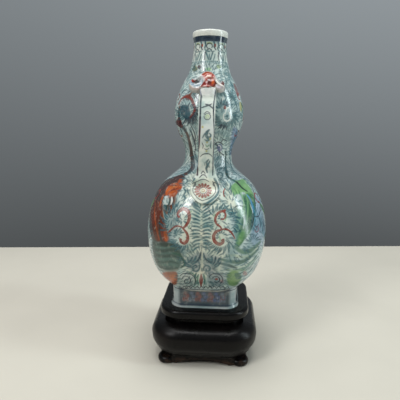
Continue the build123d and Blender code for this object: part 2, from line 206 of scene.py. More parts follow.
class Skin:
    """A finely divided surface with painted layers: distances in millimetres from each stroke's edge.

    Marks go on the front and again on the rear, half a turn round, or on the sides given alone.
    """

    def __init__(self, name, grids, sides=(False, True)):
        self.name, self.sides, self.v, self.faces, self.uv = name, sides, [], [], []
        count = 0
        for place, (grid, wrap, flip) in enumerate(grids):
            rows, cols = grid.shape[:2]
            self.v.append(grid.reshape(-1, 3))
            i, j = np.meshgrid(np.arange(rows - 1), np.arange(cols if wrap else cols - 1), indexing="ij")
            i, j = i.ravel(), j.ravel()
            n = (j + 1) % cols
            quad = np.stack([i * cols + j, i * cols + n, (i + 1) * cols + n, (i + 1) * cols + j], -1) + count
            self.faces.append(quad[:, ::-1] if flip else quad)
            u = np.stack([np.stack([j, i], -1), np.stack([j + 1, i], -1), np.stack([j + 1, i + 1], -1),
                          np.stack([j, i + 1], -1)], 1) / np.array([cols, rows])
            u = u * np.array([.94, .94 / len(grids)]) + np.array([.03, (place + .03) / len(grids)])
            self.uv.append(u[:, ::-1] if flip else u)
            count += rows * cols
        self.first = self.v[0].shape[0]
        self.v, self.faces, self.uv = np.vstack(self.v), np.vstack(self.faces), np.vstack(self.uv)
        self.outer = self.v[:self.first]
        self.tree = BVHTree.FromPolygons([Vector(p) for p in self.v], self.faces.tolist())
        self.layers = {k: np.full(len(self.v), BARE) for k in LAYERS}
        self.colour = np.tile(np.array(GLAZE), (len(self.v), 1))
        self.coat = np.zeros(len(self.v))
        corner, after, _, before = (self.v[self.faces[:, k]] for k in range(4))
        flat = np.cross(after - corner, before - corner)
        self.normal = np.zeros_like(self.v)
        for k in range(4):
            np.add.at(self.normal, self.faces[:, k], flat)
        self.normal /= np.maximum(np.linalg.norm(self.normal, axis=1, keepdims=True), 1e-9)

    def cast(self, view, points, rear):
        """Places on the surface that points of a view fall on; those that miss are left out."""
        out = []
        for q in points:
            start, ray = view.ray(q)
            hit = self.tree.ray_cast(Vector(start), Vector(ray).normalized())
            if hit[0] is not None:
                out.append(tuple(hit[0]) + tuple(q[2:]))
        out = np.array(out, float)
        if rear and len(out):
            out[:, :2] *= -1
        return out

    def near(self, spine, reach):
        """Which points may lie within reach of a line."""
        lo, hi = spine[:, :3].min(0) - reach, spine[:, :3].max(0) + reach
        return np.where(((self.v > lo) & (self.v < hi)).all(1))[0]

    def away(self, which, spine):
        """Distance from points to a line, less the line's own half width where it has one."""
        v = self.v[which]
        best = np.full(len(which), FAR)
        if len(spine) == 1:
            return np.linalg.norm(v - spine[0, :3], axis=1) - (spine[0, 3] if spine.shape[1] > 3 else 0)
        for a, b in zip(spine[:-1], spine[1:]):
            along = b[:3] - a[:3]
            size = max(float(along @ along), 1e-9)
            s = np.clip((v - a[:3]) @ along / size, 0, 1)
            gap = np.linalg.norm(v - a[:3] - s[:, None] * along, axis=1)
            if spine.shape[1] > 3:
                gap = gap - (a[3] + s * (b[3] - a[3]))
            best = np.minimum(best, gap)
        return best

    def mark(self, layer, which, gap):
        """Adds to a layer for some points, given their distances from the mark's edge."""
        self.layers[layer][which] = np.minimum(self.layers[layer][which], gap)

    def tapering(self, points, width, ends, view, margin):
        """For each side in turn, points round a mark that narrows at its ends, and their distances from it."""
        path = smooth(points)
        k = np.linspace(0, 1, len(path))
        half = width / 2 * (ends + (1 - ends) * np.sin(np.pi * np.clip(k, .02, .98)) ** .6)
        path = np.column_stack([path[:, :2], half])
        for rear in self.sides:
            spine = self.cast(view, path, rear)
            if len(spine):
                which = self.near(spine, width + margin)
                if len(which):
                    yield which, self.away(which, spine)

    def line(self, layer, points, width=.8, view=PHOTO, ends=1.0):
        """A brush line of a layer; its width narrows towards its ends to the share given."""
        for which, gap in self.tapering(points, width * SWELL[layer], ends, view, 1):
            self.mark(layer, which, gap)

    def inside(self, points, view, rear):
        """Signed distance to a closed outline, for points that face the view."""
        outline = smooth(points, closed=True)
        spine = self.cast(view, np.vstack([outline, outline[:1]])[:, :2], rear)
        if len(spine) < 3:
            return np.array([], int), None
        which = self.near(spine, 3)
        turned_v = self.v[which] * ((-1, -1, 1) if rear else (1, 1, 1))
        turned_n = self.normal[which] * ((-1, -1, 1) if rear else (1, 1, 1))
        start, ray = view.ray(outline[0][:2])
        facing = (turned_n @ np.array(ray)) < .15 * np.linalg.norm(ray)
        which, turned_v = which[facing], turned_v[facing]
        q = view.flat(turned_v)
        inner = np.zeros(len(which), bool)
        for (ax, ay), (bx, by) in zip(outline[:, :2], np.roll(outline[:, :2], -1, 0)):
            cross = (ay > q[:, 1]) != (by > q[:, 1])
            at = ax + (q[:, 1] - ay) * (bx - ax) / (by - ay if by != ay else 1e-9)
            inner ^= cross & (q[:, 0] < at)
        gap = self.away(which, spine)
        return which, np.where(inner, -gap, gap)

    def fill(self, layer, points, view=PHOTO):
        """A closed outline filled with a layer."""
        for rear in self.sides:
            which, gap = self.inside(points, view, rear)
            if len(which):
                self.mark(layer, which, gap)

    def wash(self, colour, points, soft=1.0, strength=1.0, coat=0.0, view=PHOTO):
        """A patch of colour with a soft edge, laid over what is there; see lay."""
        for rear in self.sides:
            which, gap = self.inside(points, view, rear)
            if len(which):
                self.lay(which, gap, colour, soft, strength, coat)

    def brush(self, colour, points, width, soft=.6, strength=1.0, coat=0.0, ends=.5, view=PHOTO):
        """A coloured brush mark along a line, laid as a wash is."""
        for which, gap in self.tapering(points, width, ends, view, 2):
            self.lay(which, gap, colour, soft, strength, coat)

    def lay(self, which, gap, colour, soft, strength, coat):
        """Lays colour over some points, fading over twice soft across the edge; coat is how thick it is."""
        mix = np.clip(.5 - gap / (2 * soft), 0, 1)
        mix = mix * mix * (3 - 2 * mix) * strength
        self.colour[which] += mix[:, None] * (np.array(colour) - self.colour[which])
        if coat:
            self.coat[which] = np.maximum(self.coat[which], mix * coat)

    def band(self, layer, low, high):
        """A ring of paint between two levels, on the outside."""
        z = self.outer[:, 2]
        gap = np.maximum(low - z, z - high)
        self.mark(layer, slice(0, self.first), gap)

    def middles(self, view, places):
        """Points on every side that places of a view fall on."""
        return [p for rear in self.sides for p in self.cast(view, places, rear)[:, :3]]

    def hatch(self, rng, centres, count, layer, *, size, width, clear, low, high, wild):
        """Short tapering strokes between two levels where the glaze is still bare.

        They lead away from the nearest of some middles, and wild turns them from that by chance.
        """
        centres = np.array(centres)
        bare = np.minimum.reduce([self.layers[k][:self.first] for k in LAYERS])
        for k in rng.integers(0, self.first, count):
            place = self.outer[k]
            if bare[k] < clear or self.coat[k] > .2 or not low < place[2] < high:
                continue
            away = place - centres[np.argmin(np.linalg.norm(centres - place, axis=1))]
            away = away / max(np.linalg.norm(away), 1e-6) + rng.normal(0, wild, 3)
            away -= self.normal[k] * (away @ self.normal[k])
            away /= max(np.linalg.norm(away), 1e-6)
            bend = np.cross(self.normal[k], away) * rng.normal(0, .16)
            run = rng.uniform(*size)
            half = width * rng.uniform(.38, .6)
            spine = np.array([tuple(place + (away * s + bend * s * s) * run) + (half * h,)
                              for s, h in ((0, .5), (.35, 1), (.7, .7), (1, .2))])
            which = self.near(spine, 1.6)
            which = which[which < self.first]
            gap = self.away(which, spine)
            self.mark(layer, which, gap)
            bare[which] = np.minimum(bare[which], gap)

    def build(self, material, body, nodes, slot, keep=None):
        """The finished piece, or the part of it that keep picks."""
        faces, uv = self.faces, self.uv
        used, name = np.arange(len(self.v)), self.name
        if keep is not None:
            label, wanted = keep
            pick = wanted(self.v[faces].mean(1))
            faces, uv = faces[pick], uv[pick]
            used, back = np.unique(faces, return_inverse=True)
            faces = back.reshape(-1, 4)
            name += label
        mesh = bpy.data.meshes.new(name)
        mesh.vertices.add(len(used))
        mesh.vertices.foreach_set("co", (self.v[used] * MM).ravel())
        mesh.loops.add(faces.size)
        mesh.polygons.add(len(faces))
        mesh.polygons.foreach_set("loop_start", np.arange(0, faces.size, 4))
        mesh.loops.foreach_set("vertex_index", faces.ravel())
        mesh.update(calc_edges=True)
        mesh.polygons.foreach_set("use_smooth", np.ones(len(faces), bool))
        layer = mesh.uv_layers.new(name="OFBake")
        layer.uv.foreach_set("vector", uv.reshape(-1))
        for k in LAYERS:
            mesh.attributes.new(k, "FLOAT", "POINT").data.foreach_set("value", self.layers[k][used])
        mesh.attributes.new("coat", "FLOAT", "POINT").data.foreach_set("value", self.coat[used])
        tint = np.column_stack([self.colour[used], np.ones(len(used))])
        mesh.attributes.new("tint", "FLOAT_COLOR", "POINT").data.foreach_set("color", tint.ravel())
        mesh.normals_split_custom_set_from_vertices(self.normal[used])
        mesh.materials.append(material)
        piece = bpy.data.objects.new(name, mesh)
        bpy.context.collection.objects.link(piece)
        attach(piece, body)
        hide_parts(*nodes)


# Materials
def new_material(name):
    """A material with its node tree and its shader."""
    material = bpy.data.materials.new(name)
    material.use_nodes = True
    return material, material.node_tree, material.node_tree.nodes["Principled BSDF"]


def node(tree, kind, values=(), **settings):
    """A shader node, its inputs linked or set by name or number."""
    made = tree.nodes.new("ShaderNode" + kind)
    for key, value in settings.items():
        setattr(made, key, value)
    for key, value in values:
        if hasattr(value, "is_output"):
            tree.links.new(value, made.inputs[key])
        else:
            made.inputs[key].default_value = value
    return made


def noise(tree, scale, detail=3.0, rough=.5, where=None):
    """Noise through the object's own space, or wherever else is linked in."""
    where = where or node(tree, "TexCoord").outputs["Object"]
    return node(tree, "TexNoise", [("Vector", where), ("Scale", scale), ("Detail", detail), ("Roughness", rough)])


def ramp(tree, value, low, high, to_low=0.0, to_high=1.0, kind="SMOOTHSTEP"):
    """A value mapped from one range to another, held at both ends."""
    return node(tree, "MapRange", [(0, value), (1, low), (2, high), (3, to_low), (4, to_high)],
                interpolation_type=kind).outputs[0]


def sums(tree, what, a, b, c=0.5):
    """One step of arithmetic; c is for MULTIPLY_ADD alone."""
    return node(tree, "Math", [(0, a), (1, b), (2, c)], operation=what).outputs[0]


def mixed(tree, share, a, b, blend="MIX"):
    """One colour over another by a share."""
    made = node(tree, "Mix", data_type="RGBA", blend_type=blend)
    for key, value in ((0, share), (6, a), (7, b)):
        if hasattr(value, "is_output"):
            tree.links.new(value, made.inputs[key])
        else:
            made.inputs[key].default_value = value if key == 0 else (*value, 1.0)
    return made.outputs[2]


def porcelain(name, grain=1.0):
    """Painted porcelain: soft washes, brush lines that pool and thin, raised enamel, clear glaze."""
    material, tree, shader = new_material(name)
    blot = noise(tree, 260 * grain, 4, .6).outputs[0]
    pool = noise(tree, 900 * grain, 3, .6).outputs[0]
    wander = noise(tree, 2100 * grain, 2, .5).outputs[0]
    given = {key: node(tree, "Attribute", attribute_name=key) for key in ("tint", "coat", *LAYERS)}
    colour = given["tint"].outputs[0]
    cloud = noise(tree, 90 * grain, 4, .55).outputs[0]
    colour = mixed(tree, ramp(tree, cloud, .36, .7, .16, .72), colour, rgb(152, 186, 190), "MULTIPLY")
    colour = mixed(tree, ramp(tree, blot, .5, .8, 0, .22), colour, rgb(226, 228, 210))
    height = sums(tree, "MULTIPLY", given["coat"].outputs[2], .9)
    edge = sums(tree, "MULTIPLY", sums(tree, "SUBTRACT", wander, .5), .5)
    # Each layer: where it pools and where it thins, how soft its edge is, how far it stands up, how it covers
    for key, dark, pale, soft, proud, cover in (
            ("blue", rgb(4, 44, 58), rgb(52, 112, 120), .5, .12, (.25, .75, .97, .72)),
            ("red", rgb(92, 24, 16), rgb(150, 54, 34), .16, .35, (.25, .75, .97, .72)),
            ("ink", rgb(8, 20, 36), rgb(28, 48, 70), .24, .18, (.25, .75, .97, .72)),
            ("white", rgb(222, 226, 218), rgb(238, 238, 230), .16, .8, (.2, .8, .95, .8))):
        distance = sums(tree, "ADD", given[key].outputs[2], edge)
        mask = ramp(tree, distance, soft, -.8 * soft)
        tone = mixed(tree, ramp(tree, pool, .3, .7), dark, pale)
        colour = mixed(tree, sums(tree, "MULTIPLY", mask, ramp(tree, blot, *cover)), colour, tone)
        height = sums(tree, "MULTIPLY_ADD", mask, proud, height)
    tree.links.new(colour, shader.inputs["Base Color"])
    skin = sums(tree, "MULTIPLY_ADD", noise(tree, 340 * grain, 2, .4).outputs[0], .22, height)
    skin = sums(tree, "MULTIPLY_ADD", noise(tree, 60 * grain, 2, .4).outputs[0], .55, skin)
    bump = node(tree, "Bump", [("Strength", .55), ("Distance", .0003), ("Height", skin)])
    tree.links.new(bump.outputs[0], shader.inputs["Normal"])
    tree.links.new(ramp(tree, sums(tree, "ADD", blot, height), .3, 1.5, .13, .3), shader.inputs["Roughness"])
    shader.inputs["Specular IOR Level"].default_value = .55
    shader.inputs["Coat Weight"].default_value = .12
    shader.inputs["Coat Roughness"].default_value = .06
    return material


def lacquered_wood(name, dark, light, rough):
    """Near-black hardwood: long fine grain, worn paler where it is touched, a wax sheen."""
    material, tree, shader = new_material(name)
    where = node(tree, "TexCoord").outputs["Object"]
    long_way = node(tree, "Mapping", [("Vector", where), ("Scale", (1, 1, 7))])
    grain = noise(tree, 110, 8, .65, long_way.outputs[0]).outputs[0]
    fine = noise(tree, 900, 4, .6, long_way.outputs[0]).outputs[0]
    patch = noise(tree, 38, 3, .5).outputs[0]
    colour = mixed(tree, ramp(tree, grain, .35, .75), dark, light)
    colour = mixed(tree, ramp(tree, patch, .55, .8, 0, .4), colour, rgb(30, 21, 19))
    level = node(tree, "SeparateXYZ", [("Vector", where)]).outputs[2]
    wear = ramp(tree, noise(tree, 160, 4, .7).outputs[0], .45, .62)
    scuffed = sums(tree, "MULTIPLY", ramp(tree, level, .009, .001), wear)
    colour = mixed(tree, sums(tree, "MULTIPLY", scuffed, .6), colour, rgb(78, 58, 46))
    tree.links.new(colour, shader.inputs["Base Color"])
    uneven = sums(tree, "MULTIPLY_ADD", fine, .5, sums(tree, "MULTIPLY", grain, .8))
    bump = node(tree, "Bump", [("Strength", .35), ("Distance", .00025), ("Height", uneven)])
    tree.links.new(bump.outputs[0], shader.inputs["Normal"])
    sheen = sums(tree, "ADD", patch, sums(tree, "MULTIPLY", fine, .4))
    tree.links.new(ramp(tree, sheen, .4, 1, rough - .06, rough + .12), shader.inputs["Roughness"])
    shader.inputs["Specular IOR Level"].default_value = .17
    return material


def plain_glaze(name):
    """Unpainted glaze, for what no skin covers."""
    material, tree, shader = new_material(name)
    colour = mixed(tree, ramp(tree, noise(tree, 120, 4).outputs[0], .35, .7), rgb(214, 218, 210), rgb(228, 228, 218))
    tree.links.new(colour, shader.inputs["Base Color"])
    bump = node(tree, "Bump", [("Strength", .4), ("Distance", .0003), ("Height", noise(tree, 300, 2).outputs[0])])
    tree.links.new(bump.outputs[0], shader.inputs["Normal"])
    shader.inputs["Roughness"].default_value = .2
    return material


painted = porcelain("painted_porcelain")
handle_paint = porcelain("handle_glaze", 1.2)
enamel = porcelain("relief_enamel", 1.3)
wood = lacquered_wood("stand_wood", rgb(6, 5, 5), rgb(13, 10, 9), .24)
seat_wood = lacquered_wood("seat_wood", rgb(9, 7, 7), rgb(16, 12, 11), .4)
glaze = plain_glaze("plain_glaze")
for name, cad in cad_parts.items():
    if name.startswith(("top_rail", "waist_strip", "apron", "leg")):
        use = wood
    elif name == "seat_panel":
        use = seat_wood
    else:
        use = glaze
    cad.data.materials.clear()
    cad.data.materials.append(use)


# Shapes of the vase's skins
def bulb_grids(bulb, start, end, step, coarser=9):
    """The outside of a bulb between two places of its profile, and a coarser inside."""
    rows = int((end - start) / step)
    widest = float(bulb.a(bulb.t).max())
    cols = int(2 * math.pi * widest / step)
    turns = np.linspace(-np.pi, np.pi, cols, endpoint=False)
    outer = bulb.points(*np.meshgrid(np.linspace(start, end, rows), turns, indexing="ij"))
    inner = outer[::coarser, ::coarser].copy()
    size = np.linalg.norm(inner[..., :2], axis=-1, keepdims=True)
    inner[..., :2] *= (size - WALL) / size
    return [(outer, True, False), (inner, True, True)]


def evenly(profile, step):
    """Places about a step apart along a profile, as two rows of numbers."""
    p = np.array(profile, float)
    run = np.concatenate(([0], np.cumsum(np.linalg.norm(np.diff(p, axis=0), axis=1))))
    s = np.linspace(0, run[-1], max(int(run[-1] / step), 2))
    return np.interp(s, run, p[:, 0]), np.interp(s, run, p[:, 1])


def turned_grid(profile, step, cols):
    """A surface of revolution from (radius, level) points, its corners rounded and closely divided."""
    p = np.array(profile, float)
    for _ in range(3):
        cut = np.column_stack([.75 * p[:-1] + .25 * p[1:], .25 * p[:-1] + .75 * p[1:]])
        p = np.vstack([p[:1], cut.reshape(-1, 2), p[-1:]])
    r, z = (v[:, None] for v in evenly(p, step))
    turn = np.linspace(-np.pi, np.pi, cols, endpoint=False)
    return np.stack([r * np.sin(turn), -r * np.cos(turn), np.repeat(z, cols, 1)], -1)


def block_outline(width, length, corner, count):
    """Places evenly spaced round a rounded rectangle, with the way out at each."""
    w, l = width / 2 - corner, length / 2 - corner
    quarter = math.pi * corner / 2
    legs = [2 * w, quarter, 2 * l, quarter, 2 * w, quarter, 2 * l, quarter]
    places, outs = [], []
    for value in np.linspace(0, sum(legs), count, endpoint=False):
        k = 0
        while value > legs[k] and k < 7:
            value -= legs[k]
            k += 1
        side, part = k // 2, value / legs[k]
        heading = side * math.pi / 2
        if k % 2 == 0:
            depth = (length if side % 2 == 0 else width) / 2
            place, out = np.array([(part - .5) * legs[k], -depth]), np.array([0.0, -1.0])
        else:
            angle = part * math.pi / 2
            half = (w, l) if side % 2 == 0 else (l, w)
            out = np.array([math.sin(angle), -math.cos(angle)])
            place = np.array([half[0], -half[1]]) + corner * out
        spin = np.array([[math.cos(heading), -math.sin(heading)], [math.sin(heading), math.cos(heading)]])
        places.append(spin @ place)
        outs.append(spin @ out)
    return np.array(places), np.array(outs)


def block_grid(width, length, corner, profile, step):
    """A rounded rectangle swept through (way out, level) places."""
    count = int((2 * (width + length) - 8 * corner + 2 * math.pi * corner) / step)
    places, outs = block_outline(width, length, corner, count)
    out, z = evenly(profile, step)
    flat = places[None] + out[:, None, None] * outs[None]
    return np.concatenate([flat, np.repeat(z[:, None, None], count, 1)], -1)


def reach_of(bulb, x, z, grow=0.0):
    """How far a bulb reaches towards the front at x and z."""
    t = np.interp(z, bulb.zs, bulb.ts)
    a, b, p = bulb.a(t) + grow, bulb.b(t) + grow, 2 + np.clip(bulb.p(t), 0, None)
    return b * np.clip(1 - (np.abs(x) / a) ** p, 0, 1) ** (1 / p)


# Each skin laps a little over its neighbour; the lower bulb's begins at the level given here
LOWEST = 60.0
low_start = float(np.interp(LOWEST, low_bulb.zs, low_bulb.ts))
low = Skin("lower_bulb", bulb_grids(low_bulb, low_start, low_bulb.t[-1] + .1, .48))
high = Skin("upper_bulb", bulb_grids(high_bulb, 0.0, high_bulb.t[-1] + .05, .46))

# The neck's outside as shares of its width, then the lip and the bore; (radius, level)
NECK_OUTSIDE = [(share * NECK_D / 2, level) for share, level in (
    (1.125, 240.5), (1.082, 243.4), (1.045, 246.4), (1.02, 249.4), (1.005, 252.1), (1.005, 255), (1.02, 257),
    (1.045, 258.7))]
NECK = NECK_OUTSIDE + [(13.75, 259.9), (13.9, 261.2), (13.9, 262.4), (13.7, 263.2), (13.0, 263.6), (12.0, 263.6),
                       (11.0, 263.6), (10.3, 263.2), (10.2, 262), (10.2, 247), (11.5, 240.6)]
neck = Skin("neck", [(turned_grid(NECK, .34, 250), True, False)])

# The foot's section: (way out from its straight sides, level)
FOOT = [(-3.5, 53), (-3.5, 46), (-3.2, 45.35), (-2.5, 45.05), (-1.8, 45), (.8, 45), (1.3, 45.1), (1.6, 45.5),
        (1.6, 46.1), (1.15, 47.1), (.6, 48.2), (.2, 49.4), (0, 51), (0, 75)]
foot = Skin("foot_ring", [(block_grid(FOOT_W, FOOT_L, FOOT_CORNER, FOOT, .46), True, False)])


def handle_grid():
    """The strap and the lappet as one skin: rows down the strap, columns round its section."""
    standoff = spline(*np.array(HANDLE)[::-1].T)
    width_levels, widths = np.array(WIDTH)[::-1].T
    rounding, face = 1.1, np.linspace(-1, 1, 52)

    def bulb_at(level):
        return high_bulb if level > WAIST_LEVEL else low_bulb

    def middle(level):
        return float(reach_of(bulb_at(level), 0.0, level)) + float(standoff(level))

    rows = []
    for z in np.concatenate([np.arange(HANDLE_TOP, STRAP_END, -.42), np.arange(STRAP_END, LAPPET_TIP, -.34)]):
        slope = middle(z + .5) - middle(z - .5)
        lean = math.sqrt(1 + slope * slope)
        half = float(np.interp(z, width_levels, widths)) / 2
        laid = float(np.clip((STRAP_END - z) / 8, 0, 1))
        laid = laid * laid * (3 - 2 * laid)
        proud = LAPPET_PROUD * float(np.clip((z - LAPPET_TIP) / 1.6, 0, 1)) ** .5
        x = np.concatenate([face * half, [half, half * .98, half * .5, 0, -half * .5, -half * .98, -half]])
        edge = np.clip((np.abs(face) * half - half + rounding) / rounding, 0, .999)
        drop = rounding * (1 - np.sqrt(1 - edge ** 2))
        crown = -.25 * (1 - face ** 2) * (1 - laid)
        strap_front = middle(z) + STRAP_THICKNESS / 2 * lean - drop * lean - crown
        strap_back = np.full(len(x) - len(face), middle(z) - STRAP_THICKNESS / 2 * lean)
        strap_back[[0, -1]] += STRAP_THICKNESS * .5 * lean
        strap_back[[1, -2]] += .4
        lappet_front = reach_of(bulb_at(z), x[:len(face)], z, proud) - drop * .9
        lappet_back = reach_of(bulb_at(z), x[len(face):], z) - 1.2
        front = strap_front * (1 - laid) + lappet_front * laid
        back = strap_back * (1 - laid) + lappet_back * laid
        rows.append(np.column_stack([x, -np.concatenate([front, back]), np.full(len(x), z)]))
    return np.array(rows)


# The handle and the head are made and painted once, at the front; their rear copies are turned round
strap = Skin("strap_handle", [(handle_grid(), True, True)], (False,))


def enlargement(left, top, scale):
    """Reads x, y, x, y off an enlarged part of the picture, as places of the picture."""
    return lambda *q: [(left + q[k] / scale, top + q[k + 1] / scale) for k in range(0, len(q), 2)]


# The lower half, the upper half and the head
A, U, H = enlargement(135, 150, 10.45), enlargement(165, 20, 10.11), enlargement(178, 60, 29.04)


HEAD_LEVEL, HEAD_HALF, HEAD_RELIEF = 225.1, 7.5, 3.4
below, at_head, above = (float(reach_of(high_bulb, 0.0, HEAD_LEVEL + d)) for d in (-HEAD_HALF, 0, HEAD_HALF))
head_middle = np.array([0, -at_head, HEAD_LEVEL])
head_out = np.array([0, -1, (below - above) / (2 * HEAD_HALF)])
head_out = head_out / np.linalg.norm(head_out)
head_up = np.cross(head_out, np.array([1.0, 0, 0]))
head_up = head_up * np.sign(head_up[2])


def on_head(points, height):
    """Places of the picture as (across, up) on the head's plane, a height above the bulb."""
    out = []
    for place in points:
        start, ray = PHOTO.ray(place)
        s = (height - (start - head_middle) @ head_out) / (ray @ head_out)
        place = start + s * ray - head_middle
        out.append((place[0], place @ head_up))
    return np.array(out)


def from_path(q, path):
    """Distance from each of many flat places to a line."""
    best = np.full(q.shape[:-1], FAR)
    for a, b in zip(path[:-1], path[1:]):
        s = np.clip(((q - a) @ (b - a)) / max(float((b - a) @ (b - a)), 1e-9), 0, 1)
        best = np.minimum(best, np.linalg.norm(q - a - s[..., None] * (b - a), axis=-1))
    return best


HEAD_EDGE = H(300, 640, 330, 580, 395, 525, 455, 495, 545, 455, 630, 405, 695, 355, 755, 325, 820, 312, 890, 312, 960,
    328, 1020, 358, 1075, 405, 1120, 460, 1165, 520, 1210, 566, 1260, 572, 1310, 580, 1352, 615, 1376, 670, 1372, 730,
    1340, 786, 1280, 832, 1200, 856, 1130, 850, 1060, 815, 990, 800, 900, 806, 820, 806, 740, 818, 650, 846, 560, 862,
    470, 846, 395, 812, 335, 762, 304, 700)


def head_grid():
    """The head's relief: rings from its middle to its edge, then down into the bulb."""
    edge = smooth(on_head(HEAD_EDGE, HEAD_RELIEF - .6), closed=True, pieces=4)
    heading = np.unwrap(np.arctan2(edge[:, 1], edge[:, 0]))
    if heading[-1] < heading[0]:
        edge, heading = edge[::-1], heading[::-1]
    order = np.argsort(heading)
    turn = np.linspace(-np.pi, np.pi, 330, endpoint=False)
    round_thrice = np.concatenate([heading[order] - 2 * np.pi, heading[order], heading[order] + 2 * np.pi])
    reach = np.interp(turn, round_thrice, np.tile(np.linalg.norm(edge[order], axis=1), 3))
    rho = np.linspace(.004, 1, 62) ** .8
    q = (rho[:, None] * reach)[..., None] * np.stack([np.cos(turn), np.sin(turn)], -1)[None]
    rim = from_path(q, np.vstack([edge, edge[:1]]))
    rise = HEAD_RELIEF * np.sqrt(np.clip(1 - (1 - np.clip(rim / 1.7, 0, 1)) ** 2, 0, 1)) - .15
    # Ridges, and two hollows: width, height, then places
    for width, height, *places in (
            (.95, .8, 430, 620, 500, 560, 600, 490, 690, 470, 730, 520, 740, 600, 700, 680, 640, 760),
            (.8, .45, 300, 700, 380, 790, 520, 830, 660, 810, 780, 770, 900, 770),
            (.85, .8, 1060, 500, 1120, 600, 1200, 700, 1310, 760),
            (.8, .5, 720, 400, 820, 350, 930, 360, 1040, 420, 1130, 520, 1220, 620),
            (.9, .8, 440, 560, 460, 590), (.9, .8, 1300, 620, 1310, 670), (1.6, .9, 850, 470, 930, 480),
            (2.4, .7, 900, 620, 960, 640), (.9, -.9, 500, 640, 600, 620, 640, 560),
            (.7, -.5, 560, 740, 660, 700, 700, 620)):
        path = on_head(smooth(H(*places)), HEAD_RELIEF)
        rise = rise + height * np.exp(-(from_path(q, path) / width) ** 2)
    rise = np.clip(rise - .05 * np.abs(q[..., 0]), -.3, HEAD_RELIEF + 1.25)
    skirt = [np.concatenate([q[-1], np.full((len(turn), 1), depth)], -1)
             for depth in (-.9, -1.9, -2.9, -3.9, -5.0, -6.2)]
    flat = np.concatenate([np.concatenate([q, rise[..., None]], -1), np.array(skirt)])
    return head_middle + flat[..., :1] * np.array([1.0, 0, 0]) + flat[..., 1:2] * head_up + flat[..., 2:] * head_out


head = Skin("ruyi_head", [(head_grid(), True, True)], (False,))


# Painting
def spot(cx, cy, r, squash=1.0):
    """A small round outline."""
    return [cx + r * math.cos(a) if k % 2 == 0 else cy + squash * r * math.sin(a)
            for a in np.linspace(0, 2 * math.pi, 9)[:-1] for k in (0, 1)]


def fans(skin, grid, rows):
    """Tapering strokes that radiate from middles, each a little bent."""
    for layer, cx, cy, near, far, start, end, count, width in rows:
        for k, angle in enumerate(np.linspace(start, end, count)):
            a, b = math.radians(angle), math.radians(angle + 12)
            reach = far * (1 - .16 * (k % 2))
            places = []
            for r, turn in ((near, a), ((near + reach) / 2, a * .6 + b * .4), (reach, b)):
                places += [cx + r * math.cos(turn), cy + r * math.sin(turn)]
            skin.line(layer, grid(*places), width, ends=.35)


def lines(skin, layer, grid, ends, rows):
    """Brush lines of one layer: each row is a width and then its places."""
    for width, *places in rows:
        skin.line(layer, grid(*places), width, ends=ends)


CREAM, PALE_BLUE, WHITE = rgb(226, 225, 203), rgb(186, 204, 212), rgb(232, 234, 226)
BROWN, RUST, ORANGE = rgb(70, 31, 20), rgb(130, 50, 24), rgb(196, 90, 32)
GREEN, LEAF, DEEP_GREEN, TEAL = rgb(66, 122, 74), rgb(118, 168, 98), rgb(28, 58, 48), rgb(66, 118, 122)
SLATE, MAROON, PINK = rgb(92, 112, 134), rgb(96, 26, 26), rgb(198, 140, 138)
OLIVE, YELLOW, REFLECTED_AZURE = rgb(120, 116, 62), rgb(214, 196, 104), rgb(92, 160, 206)

# Lower bulb: grounds and broad enamel patches, with some painted reflections and painted shade
low.wash(PALE_BLUE, A(330, 200, 1100, 200, 1330, 500, 1380, 900, 1250, 1250, 1000, 1450, 450, 1440, 250, 1250, 150,
    900, 200, 500), 6, .35)
low.wash(CREAM, A(560, 250, 850, 250, 960, 700, 980, 1000, 880, 1300, 540, 1290, 470, 1000, 480, 700), 7, .75)
low.wash(CREAM, A(960, 330, 1040, 470, 1090, 600, 1060, 700, 990, 640, 930, 480), 2, .8)
low.wash(rgb(126, 142, 138), A(330, 560, 440, 520, 450, 700, 420, 860, 340, 900, 300, 700), 3, .7)
low.wash(rgb(150, 176, 182), A(1060, 380, 1180, 330, 1330, 560, 1380, 760, 1370, 960, 1300, 1060, 1180, 1120, 1100,
    1080, 1200, 900, 1260, 700, 1240, 500), 3, .6)
low.wash(rgb(160, 182, 204), A(1250, 460, 1330, 560, 1370, 760, 1360, 960, 1270, 1010, 1210, 950, 1220, 800, 1260,
    650), 2, .8)
low.wash(rgb(66, 34, 26), A(300, 330, 250, 380, 190, 480, 160, 600, 150, 720, 158, 860, 190, 950, 250, 955, 230, 800,
    220, 640, 250, 500, 310, 400), 1.2, .9, .6)
low.wash(rgb(84, 62, 56), A(330, 500, 400, 480, 420, 560, 380, 640, 330, 660, 300, 600), 1.6, .7)
low.wash(BROWN, A(500, 262, 430, 280, 340, 305, 270, 370, 215, 490, 188, 610, 192, 740, 212, 880, 246, 958, 352, 962,
    358, 900, 326, 820, 306, 740, 292, 650, 288, 560, 306, 490, 380, 470, 372, 560, 340, 640, 352, 660, 400, 580, 424,
    480, 486, 400, 470, 352, 520, 300), .8, .96, .7)
low.wash(ORANGE, A(318, 470, 330, 405, 372, 360, 440, 345, 488, 378, 470, 410, 424, 452, 372, 478), .7, .95, .8)
low.wash(RUST, A(232, 620, 262, 560, 284, 640, 296, 760, 330, 850, 350, 945, 300, 950, 262, 860, 238,
    740), .8, .8, .7)
low.wash(ORANGE, A(300, 830, 336, 880, 352, 950, 318, 955, 304, 900), .6, .8, .8)
low.wash(rgb(58, 30, 24), A(420, 285, 500, 262, 520, 290, 470, 330, 400, 340, 330, 380, 270, 440, 240, 500, 210, 480,
    260, 380, 340, 310), 1.0, .8, .6)
low.wash(rgb(112, 46, 22), A(172, 560, 196, 500, 236, 520, 262, 560, 240, 640, 236, 760, 250, 880, 262, 950, 226, 950,
    196, 880, 176, 760, 166, 650), 1.0, .9, .7)
low.brush(ORANGE, A(214, 560, 204, 640, 212, 740, 230, 850, 252, 930), 1.5, .7, .7, .6)
